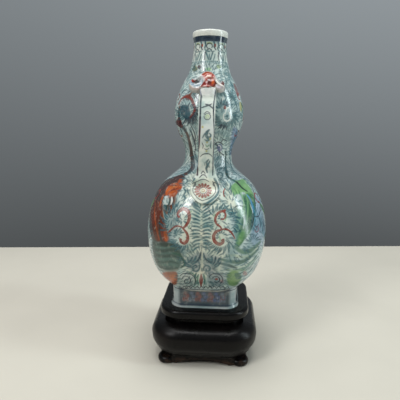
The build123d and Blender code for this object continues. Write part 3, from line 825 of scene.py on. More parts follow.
low.brush(ORANGE, A(300, 470, 276, 520, 262, 580), 2.6, .9, .8, .6)
low.brush(rgb(226, 120, 40), A(330, 430, 390, 388, 450, 376), 1.6, .7, .7, .6)
low.wash(rgb(176, 78, 30), A(470, 300, 500, 330, 496, 380, 470, 430, 430, 470, 386, 500, 350, 500, 400, 440, 440, 400,
    440, 350), 1.0, .85, .6)
low.brush(rgb(120, 64, 30), A(300, 500, 290, 560, 296, 620, 330, 660, 360, 640, 390, 580, 420, 520, 430,
    470), 1.8, .8, .8, .5)
low.brush(rgb(64, 40, 26), A(330, 560, 350, 600, 346, 640), 1.4, .5, .8, .5)
low.brush(rgb(186, 92, 40), A(286, 640, 300, 740, 320, 830, 344, 920), 1.9, .7, .8, .6)
low.brush(rgb(70, 30, 22), A(594, 30, 600, 100, 606, 155, 598, 192, 560, 232, 505, 260, 445, 280, 380,
    300), 4.4, .5, .97, .6, ends=.95)
low.brush(rgb(58, 26, 20), A(430, 296, 350, 330, 300, 390, 250, 470, 220, 560), 1.9, .5, .85, .6)
low.brush(MAROON, A(250, 450, 300, 392, 372, 366, 440, 372), 1.2)
low.brush(MAROON, A(350, 440, 400, 415, 455, 400), 1.0)
low.brush(DEEP_GREEN, A(262, 690, 258, 800, 264, 900, 280, 946), 1.5, strength=.8)
low.brush(WHITE, A(384, 492, 386, 530, 376, 566), 1.6, .4)
low.wash(rgb(206, 214, 206), A(300, 520, 330, 492, 356, 520, 344, 566, 306, 574, 290, 548), .5, .95)
low.brush(DEEP_GREEN, A(362, 500, 360, 540, 350, 580), 1.2, .3)
low.brush(DEEP_GREEN, A(300, 580, 330, 590, 326, 640), 1.6, .4)
low.wash(rgb(46, 76, 68), A(178, 950, 250, 962, 340, 965, 446, 985, 486, 1060, 492, 1150, 470, 1230, 420, 1268, 320,
    1262, 238, 1215, 196, 1110), 1.6, .95, .5)
low.wash(rgb(28, 46, 38), A(250, 965, 340, 962, 450, 985, 470, 1030, 380, 1030, 290, 1010), 1.2, .9, .5)
low.wash(rgb(92, 124, 116), A(250, 1130, 360, 1120, 470, 1140, 480, 1200, 400, 1230, 290, 1210), 2, .6)
for k in range(8):
    y = 985 + 30 * k
    low.brush((rgb(34, 66, 54), rgb(96, 132, 118))[k % 2], A(205 + 4 * k, y - 6, 290, y + 8, 380, y + 2, 470 - 3 * k,
        y + 22), 1.3, .7, .65, .5)
for k in range(7):
    low.brush(rgb(74, 112, 108), A(470, 1000 + 34 * k, 520 + 8 * (k % 3), 1012 + 34 * k), 1.3, .8, .6, ends=.2)
low.brush(rgb(44, 92, 74), A(400, 1080, 470, 1100, 520, 1190, 480, 1230), 2.2, .8)
low.brush(rgb(176, 172, 158), A(236, 1236, 300, 1262, 400, 1262, 440, 1250), 2.0, 1.0, .7)
low.wash(rgb(188, 92, 50), A(286, 1284, 360, 1272, 434, 1276, 446, 1330, 432, 1404, 378, 1398, 316,
    1350), 1.0, .92, .6)
low.wash(rgb(226, 128, 70), A(360, 1310, 420, 1300, 425, 1350, 380, 1360), 1.0, .6)
low.wash(LEAF, A(1000, 385, 1060, 330, 1130, 300, 1175, 340, 1218, 400, 1243, 480, 1190, 480, 1130, 440, 1070, 470,
    1030, 470), .9, .92, .6)
low.wash(GREEN, A(1130, 470, 1190, 450, 1243, 490, 1257, 600, 1246, 710, 1216, 830, 1160, 920, 1090, 1010, 1052, 1000,
    1066, 900, 1104, 830, 1128, 750, 1134, 680, 1150, 600, 1130, 540), .9, .95, .8)
low.wash(LEAF, A(1070, 900, 1110, 840, 1150, 860, 1120, 940, 1078, 1000, 1050, 990), 1.2, .8, .6)
low.wash(rgb(40, 92, 58), A(1190, 560, 1240, 560, 1236, 720, 1196, 830, 1160, 820, 1180, 700), 1.0, .8, .6)
low.brush(DEEP_GREEN, A(948, 60, 944, 120, 950, 200, 972, 280, 1060, 335, 1122, 398, 1170, 430), 2.6, .4, .95, .5)
low.brush(rgb(56, 110, 120), A(990, 40, 996, 120, 1020, 200, 1080, 260, 1150, 310), 2.4, .9, .7)
low.wash(rgb(96, 150, 112), A(1030, 470, 1100, 450, 1160, 500, 1180, 600, 1150, 720, 1120, 840, 1066, 930, 1040, 880,
    1050, 760, 1068, 660, 1050, 560), 1.6, .75, .4)
low.wash(rgb(34, 96, 66), A(1120, 500, 1170, 520, 1180, 640, 1150, 760, 1110, 860, 1080, 880, 1110, 760, 1130,
    640), 1.0, .75, .5)
low.wash(rgb(24, 84, 96), A(1206, 520, 1240, 560, 1250, 660, 1232, 780, 1206, 840, 1216, 720, 1222, 620), .8, .8, .6)
for k in range(6):
    low.brush((rgb(34, 92, 60), rgb(150, 196, 130))[k % 2], A(1030 + 26 * k, 400 + 10 * k, 1060 + 24 * k,
        440 + 30 * k, 1100 + 14 * k, 560 + 40 * k), 1.0, .6, .6, .5)
low.brush(DEEP_GREEN, A(1180, 330, 1228, 400, 1250, 500, 1256, 640, 1226, 800), 1.5, .4, .9, .5)
low.brush(GREEN, A(1010, 310, 1050, 322, 1100, 318), 1.4, .5, .8, .5)
# Painted reflection: an azure streak with a white core, and a teal streak beside it, where a light glints on the
# green leaf
low.brush(REFLECTED_AZURE, A(1172, 470, 1206, 520, 1226, 590, 1234, 650), 2.0, .5, .9, .6)
low.brush(WHITE, A(1200, 560, 1222, 620, 1232, 660), .7, .3, .9)
low.brush(rgb(60, 150, 170), A(1228, 560, 1252, 640, 1254, 740, 1236, 840), 1.8, .7, .75, .5)
low.brush(rgb(120, 190, 200), A(1262, 600, 1276, 700, 1268, 800), 1.2, .7, .6)
low.brush(rgb(96, 172, 180), A(1290, 700, 1326, 800, 1340, 900, 1330, 1010), 2.4, 1.2, .5)
low.brush(rgb(214, 228, 228), A(1150, 330, 1210, 400, 1262, 500), 1.6, .8, .6)
low.brush(WHITE, A(1136, 680, 1142, 760, 1132, 820), 1.4, .5, .7)
# Painted reflection: a pale patch across the leaf where light glints on it
low.wash(rgb(206, 218, 214), A(1050, 480, 1100, 470, 1130, 560, 1110, 620, 1060, 600), .8, .85)
low.brush(DEEP_GREEN, A(1040, 600, 1080, 580, 1130, 590), 1.3, .4, .85)
low.brush(TEAL, A(1050, 520, 1080, 540, 1110, 530, 1128, 560), 1.5, .4, .8)
# Painted reflection: a white glint on the leaf
low.brush(WHITE, A(1068, 478, 1074, 510), 1.5, .4, .9)
for shade, wide, places in (
        (rgb(92, 132, 104), 3.8, (1040, 1010, 1110, 1060, 1190, 1060, 1260, 1010, 1310, 960)),
        (rgb(206, 214, 188), 2.2, (930, 1110, 1030, 1100, 1130, 1120, 1220, 1080, 1296, 1000)),
        (rgb(66, 112, 90), 3.4, (890, 1140, 1000, 1165, 1110, 1170, 1200, 1120, 1286, 1040)),
        (rgb(204, 214, 196), 2.0, (920, 1180, 1020, 1210, 1120, 1220, 1200, 1170, 1290, 1070)),
        (rgb(48, 84, 82), 2.8, (880, 1180, 970, 1204, 1060, 1236)),
        (rgb(96, 142, 124), 2.2, (1060, 1250, 1150, 1230, 1220, 1170, 1280, 1090)),
        (rgb(150, 176, 140), 2.4, (960, 1250, 1060, 1262, 1150, 1250)),
        (rgb(120, 150, 130), 2.2, (1100, 1290, 1180, 1240, 1240, 1170, 1290, 1110))):
    low.brush(shade, A(*places), wide, .8, .85, .3)
low.wash(rgb(122, 160, 92), A(962, 1296, 1044, 1262, 1104, 1300, 1102, 1370, 1040, 1420, 972, 1402), 1.0, .9, .6)
low.wash(rgb(70, 110, 104), A(1040, 1290, 1100, 1290, 1110, 1340, 1060, 1350), .8, .7)
low.wash(PINK, A(*spot(1150, 1290, 24)), 1.0, .8)
low.wash(WHITE, A(1180, 1230, 1230, 1200, 1240, 1240, 1190, 1270), 1.0, .8)
low.wash(SLATE, A(560, 1120, 640, 1080, 690, 1060, 720, 1070, 800, 1100, 900, 1130, 860, 1230, 800, 1290, 740, 1280,
    690, 1240, 650, 1280, 580, 1260, 530, 1190), 1.5, .5)
low.wash(rgb(120, 138, 148), A(760, 1290, 850, 1270, 930, 1310, 940, 1400, 860, 1430, 770, 1420), 1.5, .7)
low.wash(rgb(206, 210, 204), A(460, 1310, 540, 1290, 620, 1310, 640, 1400, 560, 1440, 470, 1420), 1.2, .8)
# Painted shade: greyer washes either side of the pale middle and just below the waist
low.wash(rgb(120, 152, 156), A(1000, 700, 1060, 720, 1080, 900, 1040, 1100, 960, 1230, 900, 1240, 960, 1060, 1010,
    900), 2.5, .5)
low.wash(rgb(128, 156, 160), A(360, 850, 420, 960, 470, 1000, 540, 1050, 520, 1100, 480, 1060, 400, 970, 350,
    950), 2, .6)
low.wash(rgb(120, 150, 160), A(640, 60, 900, 60, 960, 200, 900, 260, 840, 240, 640, 240, 600, 200), 2.5, .45)

# Lower bulb: the pale rib with its barbs, and the scrolls
low.brush(rgb(234, 228, 204), A(694, 575, 700, 800, 694, 1000, 700, 1180, 697, 1290), 2.0, .9, .8, ends=1)
for k in range(13):
    y = 596 + 34 * k
    lift = 62 - 9.5 * k
    low.line("blue", A(678, y + 8, 640, y - lift * .35, 588 + abs(k - 5) * 2.5, y - lift), 1.15, ends=.4)
    low.line("blue", A(708, y + 12, 750, y - lift * .3, 800 - abs(k - 5) * 3, y - lift * .9), 1.1, ends=.4)
for places, width in (
        ((455, 700, 447, 665, 470, 632, 505, 614, 545, 632, 567, 680, 562, 735, 535, 785, 505, 815), 2.9),
        ((505, 812, 450, 795, 405, 808, 368, 850), 1.5),
        ((500, 818, 535, 860, 552, 905, 545, 950, 515, 976, 480, 960, 470, 930), 2.4),
        ((912, 728, 938, 712, 946, 672, 925, 642, 885, 648, 850, 680, 838, 730, 855, 775, 888, 800, 905, 825), 2.0),
        ((900, 832, 950, 828, 1005, 860, 1045, 925), 1.6),
        ((896, 836, 850, 852, 822, 900, 835, 955, 878, 985, 918, 968, 925, 935), 2.8)):
    low.line("red", A(*places), .84 * width, ends=.45)
for cx, cy, r in ((458, 698, 13), (478, 938, 14), (938, 632, 13), (914, 946, 15), (905, 722, 10)):
    low.fill("red", A(*spot(cx, cy, r)))
low.brush(rgb(224, 120, 60), A(480, 640, 510, 625, 540, 650), .9, .3, .8)
low.brush(rgb(206, 92, 52), A(500, 950, 530, 950, 542, 920), 1.0, .4, .6)
fans(low, A, (
    ("blue", 450, 770, 118, 205, 150, 262, 12, 1), ("blue", 500, 900, 100, 170, 62, 150, 9, 1),
    ("blue", 470, 700, 105, 165, 232, 316, 8, 1), ("blue", 900, 720, 92, 165, 205, 330, 13, 1),
    ("blue", 930, 770, 110, 190, -52, 24, 8, 1), ("blue", 890, 910, 105, 185, 28, 150, 13, 1),
    ("blue", 900, 900, 30, 62, 150, 330, 7, .8), ("blue", 455, 880, 18, 62, 150, 330, 7, .9),
    ("blue", 480, 720, 20, 58, 80, 250, 6, .9), ("blue", 900, 700, 14, 40, 40, 240, 5, .8)))
for places in (
        (560, 660, 590, 640), (572, 790, 560, 820), (820, 690, 838, 670), (960, 690, 940, 740), (880, 900, 892, 940)):
    low.brush(rgb(84, 156, 104), A(*places), 1.3, .5, .8)

# Lower bulb: clouds, spindle and rosettes above the foot
low.fill("red", A(690, 1288, 704, 1322, 711, 1362, 702, 1408, 690, 1436, 678, 1404, 671, 1362, 680, 1320))
for places in (
        (664, 1300, 654, 1350, 664, 1410), (640, 1284, 628, 1330, 640, 1400), (720, 1300, 730, 1350, 722, 1410),
        (560, 1282, 600, 1290, 640, 1330)):
    low.brush(rgb(70, 128, 92), A(*places), 1.3, .4, .85)
lines(low, "blue", A, .4, (
    (1.5, 690, 1066, 678, 1120, 650, 1160, 600, 1196), (1.4, 640, 1108, 622, 1150, 590, 1176),
    (1.3, 600, 1120, 580, 1160, 550, 1180), (1.2, 545, 1120, 560, 1160, 600, 1190),
    (1.2, 520, 1150, 540, 1190, 590, 1210), (1.2, 510, 1200, 550, 1216, 600, 1226),
    (1.1, 668, 1170, 676, 1220, 656, 1262, 616, 1262, 604, 1226, 634, 1204, 650, 1226),
    (1.5, 716, 1080, 728, 1130, 770, 1160, 800, 1190), (1.3, 760, 1130, 780, 1150, 800, 1180),
    (1.4, 800, 1110, 806, 1150, 800, 1190), (1.4, 842, 1116, 836, 1160, 812, 1200),
    (1.3, 880, 1130, 862, 1176, 826, 1214), (1.2, 900, 1164, 868, 1206, 830, 1230),
    (1.1, 716, 1262, 722, 1222, 752, 1208, 782, 1226, 778, 1258, 750, 1264, 742, 1240)))
lines(low, "ink", A, .3, (
    (.7, 688, 1075, 672, 1130, 640, 1172), (.7, 718, 1090, 740, 1140, 784, 1172), (.7, 846, 1126, 830, 1172),
    (.7, 560, 1200, 600, 1240)))
lines(low, "ink", A, .5, (
    (.85, 468, 1320, 500, 1292, 556, 1290, 604, 1312, 632, 1356, 620, 1408),
    (.85, 488, 1352, 508, 1322, 548, 1322, 578, 1350, 570, 1388, 536, 1398, 516, 1374, 530, 1352, 552, 1362),
    (.85, 500, 1420, 560, 1428, 610, 1404), (.85, 772, 1330, 800, 1300, 850, 1292, 900, 1316, 916, 1360, 890, 1400),
    (.85, 800, 1350, 830, 1322, 872, 1330, 884, 1362, 858, 1384, 826, 1376)))
low.fill("red", A(*spot(852, 1350, 17, .7)))
low.wash(PINK, A(*spot(905, 1372, 18)), 1.0, .7)
low.line("ink", A(400, 1416, 450, 1438, 560, 1455, 700, 1463, 850, 1462, 960, 1450, 1040, 1428), 1.3, ends=1)
for x in range(470, 1010, 45):
    low.line("ink", A(x - 22, 1446, x, 1424, x + 22, 1448), .6)

# Lower bulb: shoulder, and the right edge
lines(low, "blue", A, .4, (
    (1.0, 470, 300, 520, 292, 548, 320, 530, 348, 500, 336), (1.2, 505, 395, 528, 430, 512, 470, 526, 510, 506, 545),
    (.9, 545, 400, 552, 440, 572, 480), (1.2, 560, 520, 590, 552, 640, 590),
    (1.0, 870, 236, 905, 240, 916, 275, 885, 296, 862, 272), (1.0, 880, 300, 920, 320, 950, 360),
    (1.1, 850, 520, 812, 560, 770, 580), (1.0, 900, 330, 925, 380, 960, 420), (1.0, 460, 350, 500, 352, 520, 380),
    (1.0, 990, 330, 1000, 380, 980, 420), (1.0, 930, 560, 950, 600, 990, 630), (1.0, 1000, 560, 1010, 620, 1040, 680),
    (1.0, 1050, 690, 1090, 720), (1.0, 1010, 780, 1070, 790), (1.1, 1000, 730, 1070, 744)))
lines(low, "red", A, 1, ((.9, 938, 405, 924, 440, 932, 486), (1.0, 350, 860, 380, 826)))
lines(low, "ink", A, .5, (
    (.8, 1268, 500, 1300, 556, 1312, 620, 1290, 690, 1252, 690), (.8, 1290, 690, 1312, 760, 1306, 830),
    (.9, 1338, 700, 1344, 770, 1330, 850), (.8, 1290, 480, 1320, 540), (.7, 1240, 690, 1290, 720),
    (.8, 1310, 640, 1330, 610)))
low.brush(rgb(140, 50, 84), A(1258, 806, 1284, 800, 1292, 836, 1268, 858, 1250, 838), .9, .3, .9, ends=1)
fans(low, A, (("blue", 1240, 960, 30, 90, 190, 330, 7, .9),))

# Middles that the small strokes lead away from
rng = np.random.default_rng(4)
scroll_places = A(500, 740, 900, 740, 500, 900, 900, 900, 700, 420, 700, 1180, 1010, 560, 400, 700)
flower_places = ((0, 116), (-17, 133), (17, 134), (-15, 97), (16, 96), (0, 82), (0, 147))
low_middles = low.middles(PHOTO, scroll_places) + low.middles(SIDE, flower_places)


def bloom(skin, cy, cz, r, petal, heart, count=9):
    """A flower on the side: petals round a heart, outlined."""
    wide = r * .34
    for k in range(count):
        a = 2 * math.pi * k / count + .2
        c, s = math.cos(a), math.sin(a)
        ring = [(cy + r * c, cz + .9 * r * s), (cy + .62 * r * c - wide * s, cz + .56 * r * s + wide * c),
                (cy + .2 * r * c, cz + .2 * r * s), (cy + .62 * r * c + wide * s, cz + .56 * r * s - wide * c)]
        skin.wash(petal, ring, .5, .95, .7, view=SIDE)
        skin.brush(WHITE, [ring[0], ring[2]], r * .1, .3, .7, view=SIDE)
        skin.line("red", [ring[1], ring[0], ring[3]], .5, ends=.4, view=SIDE)
    turns = np.linspace(0, 2 * math.pi, 9)[:-1]
    skin.wash(heart, [(cy + .28 * r * math.cos(a), cz + .26 * r * math.sin(a)) for a in turns], .3, 1, .8, view=SIDE)
    turns = np.linspace(0, 2 * math.pi, 11)
    skin.line("ink", [(cy + .26 * r * math.cos(a), cz + .24 * r * math.sin(a)) for a in turns], .45, view=SIDE)


def curl(skin, cy, cz, r, way, flip, width=1.7):
    """A C-scroll with a dot at its end, opening one way or the other."""
    places = [(cy + flip * s * r * math.cos(a), cz + s * r * math.sin(a))
              for a, s in zip(np.linspace(way, way + 4.6, 11), np.linspace(1, .42, 11))]
    skin.line("red", places, width, ends=.4, view=SIDE)
    end_y, end_z = places[-1]
    skin.fill("red", [(end_y + .17 * r * math.cos(a), end_z + .17 * r * math.sin(a)) for a in np.linspace(0,
        2 * math.pi, 7)[:-1]], view=SIDE)


def leaf(skin, y, z, run, angle, shade, flip=1):
    """A bent pointed leaf with a pale rib."""
    c, s = math.cos(math.radians(angle)), math.sin(math.radians(angle))

    def places(*shares):
        return [(y + flip * (u * run * c - v * run * s), z + u * run * s + v * run * c) for u, v in shares]

    outline = places((0, 0), (.3, .2), (.7, .26), (1, .05), (.72, -.06), (.35, -.14))
    skin.wash(shade, outline, .5, .95, .7, view=SIDE)
    skin.brush(DEEP_GREEN, places((0, 0), (.35, .06), (.7, .1), (1, .05)), .6, .3, .8, view=SIDE)
    skin.brush(rgb(190, 214, 170), places((.2, .12), (.6, .18)), .7, .4, .7, view=SIDE)


# Lower bulb, broad sides: a flower among leaves and scrolls, over waves
low.wash(CREAM, [(-13, 128), (0, 132), (13, 128), (17, 116), (12, 104), (0, 100), (-12, 104), (-17,
    116)], 3, .6, view=SIDE)
leaf(low, -6, 120, 17, 128, GREEN)
leaf(low, 6, 121, 16, 128, LEAF, -1)
leaf(low, -8, 110, 15, 205, rgb(60, 116, 92))
leaf(low, 8, 110, 15, 205, GREEN, -1)
leaf(low, 0, 126, 14, 84, TEAL)
bloom(low, 0, 115.5, 10.2, rgb(158, 60, 34), YELLOW)
for cy, cz, r, way, flip in (
        (-17, 135, 5.2, .4, 1), (17, 136, 5.0, .4, -1), (-16, 98, 5.4, 3.4, 1), (16.5, 97, 5.2, 3.4, -1)):
    curl(low, cy, cz, r, way, flip)
low.brush(BROWN, [(-9, 146), (-4, 140), (-3, 133), (-6, 126)], 1.6, .4, .9, .5, view=SIDE)
low.brush(DEEP_GREEN, [(10, 148), (7, 141), (8, 134), (5, 127)], 1.5, .4, .9, .5, view=SIDE)
for k in range(5):
    z = 74 + 3.6 * k
    for shade, d in ((rgb(74, 118, 112), 0), (rgb(196, 208, 190), 1.5)):
        wave = [(y, z + d + 1.7 * math.sin(y * .42 + k * 1.9)) for y in np.linspace(-20 + k, 20 - k, 15)]
        low.brush(shade, wave, 1.5, .5, .85, .3, view=SIDE)
for y, z in ((-8, 93), (0, 95), (8, 92)):
    low.line("ink", [(y + 2.2 * math.cos(a), z + 1.7 * math.sin(a)) for a in np.linspace(-.4, 4.6, 9)], .6, view=SIDE)
for count, layer, size, width, clear, top, wild in (
        (9000, "blue", (3.6, 7.4), .86, .48, 167, .05), (3000, "blue", (1.6, 3.2), .66, .4, 167, .12),
        (500, "ink", (1.0, 2.4), .7, .2, 166, .3)):
    low.hatch(rng, low_middles, count, layer, size=size, width=width, clear=clear, low=69, high=top, wild=wild)
low.band("ink", 62.2, 63.3)
low.band("white", 60.0, 61.9)

# Upper bulb
high.wash(PALE_BLUE, U(200, 700, 700, 700, 770, 950, 700, 1300, 560, 1560, 200, 1560, 120, 1000), 5, .3)
high.wash(rgb(186, 206, 204), U(540, 700, 680, 720, 740, 900, 740, 1050, 620, 1180, 520, 1080, 520, 860), 3, .7)
high.wash(rgb(96, 126, 176), U(690, 1090, 735, 1120, 720, 1230, 700, 1400, 660, 1420, 660, 1240), 1.5, .75)
high.wash(rgb(40, 68, 88), U(150, 900, 180, 858, 230, 866, 258, 930, 246, 1000, 205, 1000, 168, 962), .7, .85)
high.wash(rgb(36, 60, 78), U(180, 960, 240, 985, 290, 960, 320, 1010, 290, 1060, 230, 1040), .9, .75)
high.brush(BROWN, U(146, 880, 140, 960, 150, 1030, 180, 1080, 222, 1150, 244, 1220, 262, 1290, 268, 1370, 274, 1440,
    282, 1520), 3.3, .4, .96, .6, ends=.9)
high.brush(rgb(44, 20, 18), U(250, 1250, 266, 1330, 276, 1420, 288, 1520), 4.0, .6, .95, .6, ends=.9)
high.brush(rgb(30, 62, 66), U(530, 1390, 560, 1440, 566, 1500, 548, 1560), 2.2, .7, .8, .3, ends=.6)
high.brush(rgb(34, 78, 72), U(520, 1250, 548, 1310, 556, 1370), 1.8, .8, .6, .2, ends=.4)
# Painted highlight: a white glint just right of the strap
high.brush(rgb(236, 238, 230), U(500, 1400, 512, 1450, 508, 1500), 1.4, .6, .8, .2, ends=.4)
high.wash(MAROON, U(112, 1020, 150, 985, 180, 1075, 165, 1095, 120, 1060), .5, .95, .6)
high.wash(MAROON, U(200, 760, 260, 745, 268, 790, 240, 812, 205, 800), .6, .8, .6)
high.line("red", U(140, 850, 170, 795, 220, 772, 262, 792, 290, 850, 302, 895, 288, 942, 256, 985), 2.1, ends=.7)
high.brush(rgb(112, 60, 28), U(232, 780, 262, 742, 300, 712), 1.8, .4, .9, .5)
# Painted highlights: white glints on and inside the red C-scroll
high.brush(WHITE, U(134, 840, 146, 868), 1.2, .3, 1, .6)
high.brush(WHITE, U(236, 838, 232, 868), 1.1, .3, 1, .6)
fans(high, U, (
    ("ink", 220, 920, 70, 150, 10, 96, 9, .95), ("blue", 220, 920, 60, 130, 96, 190, 8, .9),
    ("ink", 250, 940, 62, 110, -100, 10, 9, .85), ("blue", 590, 1000, 34, 118, 60, 190, 12, .9),
    ("blue", 640, 985, 44, 118, -40, 100, 12, .95), ("ink", 590, 1030, 30, 90, 60, 130, 6, .7),
    ("blue", 600, 900, 36, 110, 190, 320, 11, .85), ("blue", 690, 760, 10, 70, 60, 250, 9, .85)))
high.line("white", U(600, 940, 590, 975, 600, 1010, 628, 1022, 655, 1005, 660, 970, 645, 930), .85, ends=.7)
high.fill("blue", U(*spot(630, 972, 13, 1.2)))
high.line("white", U(610, 950, 622, 900, 650, 880), .8, ends=.5)
high.fill("red", U(*spot(605, 884, 15, 1.3)))
high.brush(rgb(80, 140, 100), U(640, 820, 660, 850, 658, 880), .9, .3, .8)
high.brush(rgb(120, 170, 110), U(590, 700, 620, 760, 650, 810), 1.1, .4, .8)
high.wash(WHITE, U(570, 775, 590, 765, 606, 790, 590, 815, 572, 808), .5, .95, .4)
high.wash(rgb(92, 92, 150), U(528, 1268, 560, 1250, 582, 1282, 575, 1318, 545, 1330, 526, 1304), .6, .85)
high.line("ink", U(545, 1330, 575, 1352, 600, 1380, 612, 1450), 1.1, ends=.5)
high.line("white", U(540, 1270, 560, 1275, 566, 1300), .6)
high.brush(DEEP_GREEN, U(612, 1330, 622, 1400, 618, 1480, 600, 1560), 2.0, .4, .95, .5, ends=.8)
high.brush(rgb(60, 120, 140), U(650, 1330, 656, 1420, 640, 1520), 1.8, .6, .7)
high.line("red", U(500, 1462, 512, 1432, 545, 1418, 580, 1446), .9, ends=.5)
# Painted highlight: a white glint at the end of the red curl
high.brush(WHITE, U(512, 1468, 526, 1480), 1.3, .3, 1, .6)
high.wash(rgb(120, 30, 40), U(690, 640, 712, 650, 742, 720, 748, 770, 726, 760, 705, 700), .6, .8, .6)
high.wash(YELLOW, U(752, 830, 770, 840, 776, 900, 768, 930, 755, 890), .5, .8, .6)
high.wash(rgb(150, 190, 196), U(640, 560, 700, 700, 740, 800, 700, 780, 650, 680), 1.2, .5)
lines(high, "ink", U, .4, (
    (1.1, 260, 1060, 300, 1150, 310, 1220), (.8, 300, 1000, 330, 1050), (1.2, 262, 1120, 290, 1200, 300, 1260),
    (.9, 300, 1200, 310, 1290, 300, 1340), (.9, 170, 1180, 200, 1240, 210, 1310),
    (.8, 150, 1090, 180, 1150, 200, 1220), (.9, 150, 790, 180, 730, 215, 700), (.9, 200, 720, 225, 700),
    (.9, 178, 700, 200, 670), (.9, 232, 735, 262, 712, 300, 716), (.9, 300, 760, 330, 800, 335, 860),
    (.9, 320, 880, 338, 930), (.9, 180, 640, 200, 600, 225, 560), (.9, 215, 655, 235, 610)))
lines(high, "blue", U, .4, (
    (1.1, 170, 1240, 190, 1300), (1.1, 220, 1230, 236, 1290), (1.1, 190, 1380, 215, 1440),
    (1.1, 180, 1470, 230, 1440, 250, 1400), (1.1, 310, 1100, 326, 1180), (1.1, 560, 1180, 590, 1210),
    (1.1, 640, 1180, 650, 1260), (1.1, 660, 1280, 650, 1400, 640, 1500), (1.1, 600, 560, 620, 620, 610, 680),
    (1.1, 650, 590, 670, 650, 700, 700), (1.1, 560, 540, 590, 570), (1.1, 470, 1180, 480, 1150),
    (1.1, 700, 800, 720, 850, 730, 900), (1.1, 660, 720, 690, 770, 700, 820), (1.1, 720, 940, 745, 990),
    (1.1, 700, 1040, 735, 1060)))
lines(high, "ink", U, 1, (
    (.7, 588, 850, 618, 862, 650, 850), (.8, 505, 1260, 530, 1235, 560, 1240, 590, 1262),
    (.7, 566, 1240, 590, 1210, 620, 1220), (.7, 500, 1490, 540, 1500, 580, 1490)))
leaf(high, -4, 203, 9, 120, GREEN)
leaf(high, 4, 203, 9, 120, TEAL, -1)
bloom(high, 0, 199, 6.4, rgb(150, 56, 36), YELLOW, 8)
for cy, cz, r, way, flip in (
        (-10, 214, 3.6, .4, 1), (10.5, 213, 3.4, .4, -1), (-10, 187, 3.4, 3.4, 1), (10, 186, 3.4, 3.4, -1)):
    curl(high, cy, cz, r, way, flip, width=1.3)
high.brush(BROWN, [(-3, 224), (-5, 217), (-2, 210), (-1, 205)], 1.3, .4, .9, .5, view=SIDE)
high.brush(DEEP_GREEN, [(2, 194), (4, 186), (1, 178), (3, 171)], 1.4, .4, .9, .5, view=SIDE)
high_middles = high.middles(PHOTO, U(220, 920, 600, 980, 560, 1290, 250, 1300, 430, 600))
high_middles += high.middles(SIDE, ((0, 199), (-10, 214), (10, 213), (-10, 187), (10, 186)))
for count, layer, size, width, clear, wild in (
        (5600, "blue", (2.8, 5.8), .84, .44, .05), (1800, "blue", (1.4, 2.8), .64, .34, .12),
        (420, "ink", (.9, 2.2), .7, .2, .3)):
    high.hatch(rng, high_middles, count, layer, size=size, width=width, clear=clear, low=169.5, high=241, wild=wild)

# Neck
neck.band("white", 259.0, 264.5)
neck.band("ink", 254.9, 258.9)
neck.wash(rgb(70, 92, 122), U(180, 168, 720, 168, 720, 236, 180, 236), 1.2, .8)
neck.wash(rgb(232, 236, 226), U(250, 236, 640, 236, 640, 400, 250, 400), 2.5, .8)
outside_radii, outside_levels = np.array(NECK[:9]).T
for turn in np.linspace(0, 2 * math.pi, 9)[:-1]:
    spin = np.array([math.sin(turn), -math.cos(turn)])
    cross = np.array([math.cos(turn), math.sin(turn)])

    def ring(across, level):
        r = np.interp(level, outside_levels, outside_radii)
        flat = r * spin + across * cross
        return np.concatenate([r * flat / np.linalg.norm(flat), [level]])

    for layer, half, places in (
            ("ink", .4, [(2.3 * math.cos(a), 251.4 + 2.0 * math.sin(a)) for a in np.linspace(-.6, 4.2, 9)]),
            ("ink", .5, [(4.2, 250.6), (4.5, 249.4), (5.2, 248.8)]), ("red", .85, [(4.6, 252.4), (4.6, 251.6)]),
            ("blue", .6, [(3.4, 254.4), (4.0, 253.2), (3.6, 250.8)]),
            ("blue", .6, [(-3.4, 254.4), (-3.0, 252.2), (-3.8, 250.0)]),
            ("blue", .5, [(-3.6, 249.0), (-2.4, 247.8), (0, 247.4)]),
            ("blue", .45, [(1.2, 248.0), (2.4, 247.2), (3.8, 247.8)]),
            ("ink", .4, [(-1.6, 248.6), (0, 249.5), (1.6, 248.6)]),
            ("blue", .5, [(-.6, 241.4), (-1.5, 244.2), (-2.6, 246.6)]),
            ("ink", .45, [(-3.6, 241.2), (-3.9, 244.0), (-3.3, 247.0)]),
            ("blue", .5, [(1.0, 241.4), (1.7, 244.0), (2.6, 246.6)]),
            ("blue", .4, [(3.4, 241.2), (4.1, 243.2), (4.6, 245.4)]),
            ("blue", .35, [(0, 241.2), (0, 243.4), (.2, 245.4)])):
        spine = np.array([tuple(ring(*q)) + (half,) for q in places])
        which = neck.near(spine, 1.5)
        neck.mark(layer, which, neck.away(which, spine))
    spine = np.array([tuple(ring(x, z)) + (.4,) for x, z in ((-1.9, 253.4), (0, 253.9), (1.9, 253.2))])
    which = neck.near(spine, 2)
    neck.lay(which, neck.away(which, spine), rgb(190, 200, 120), .4, .8, .3)
high.wash(MAROON, U(*spot(348, 476, 19, 1.1)), .4, .95, .6)
high.wash(OLIVE, U(275, 505, 300, 455, 318, 470, 330, 500, 300, 520), .4, .85, .4)
high.wash(rgb(170, 190, 120), U(525, 455, 560, 450, 575, 475, 548, 492, 525, 480), .5, .7, .3)
high.wash(rgb(160, 200, 130), U(410, 490, 450, 480, 470, 505, 430, 520), .5, .7)

# Strap and lappet
strap.colour[:] = np.array(rgb(236, 240, 230))
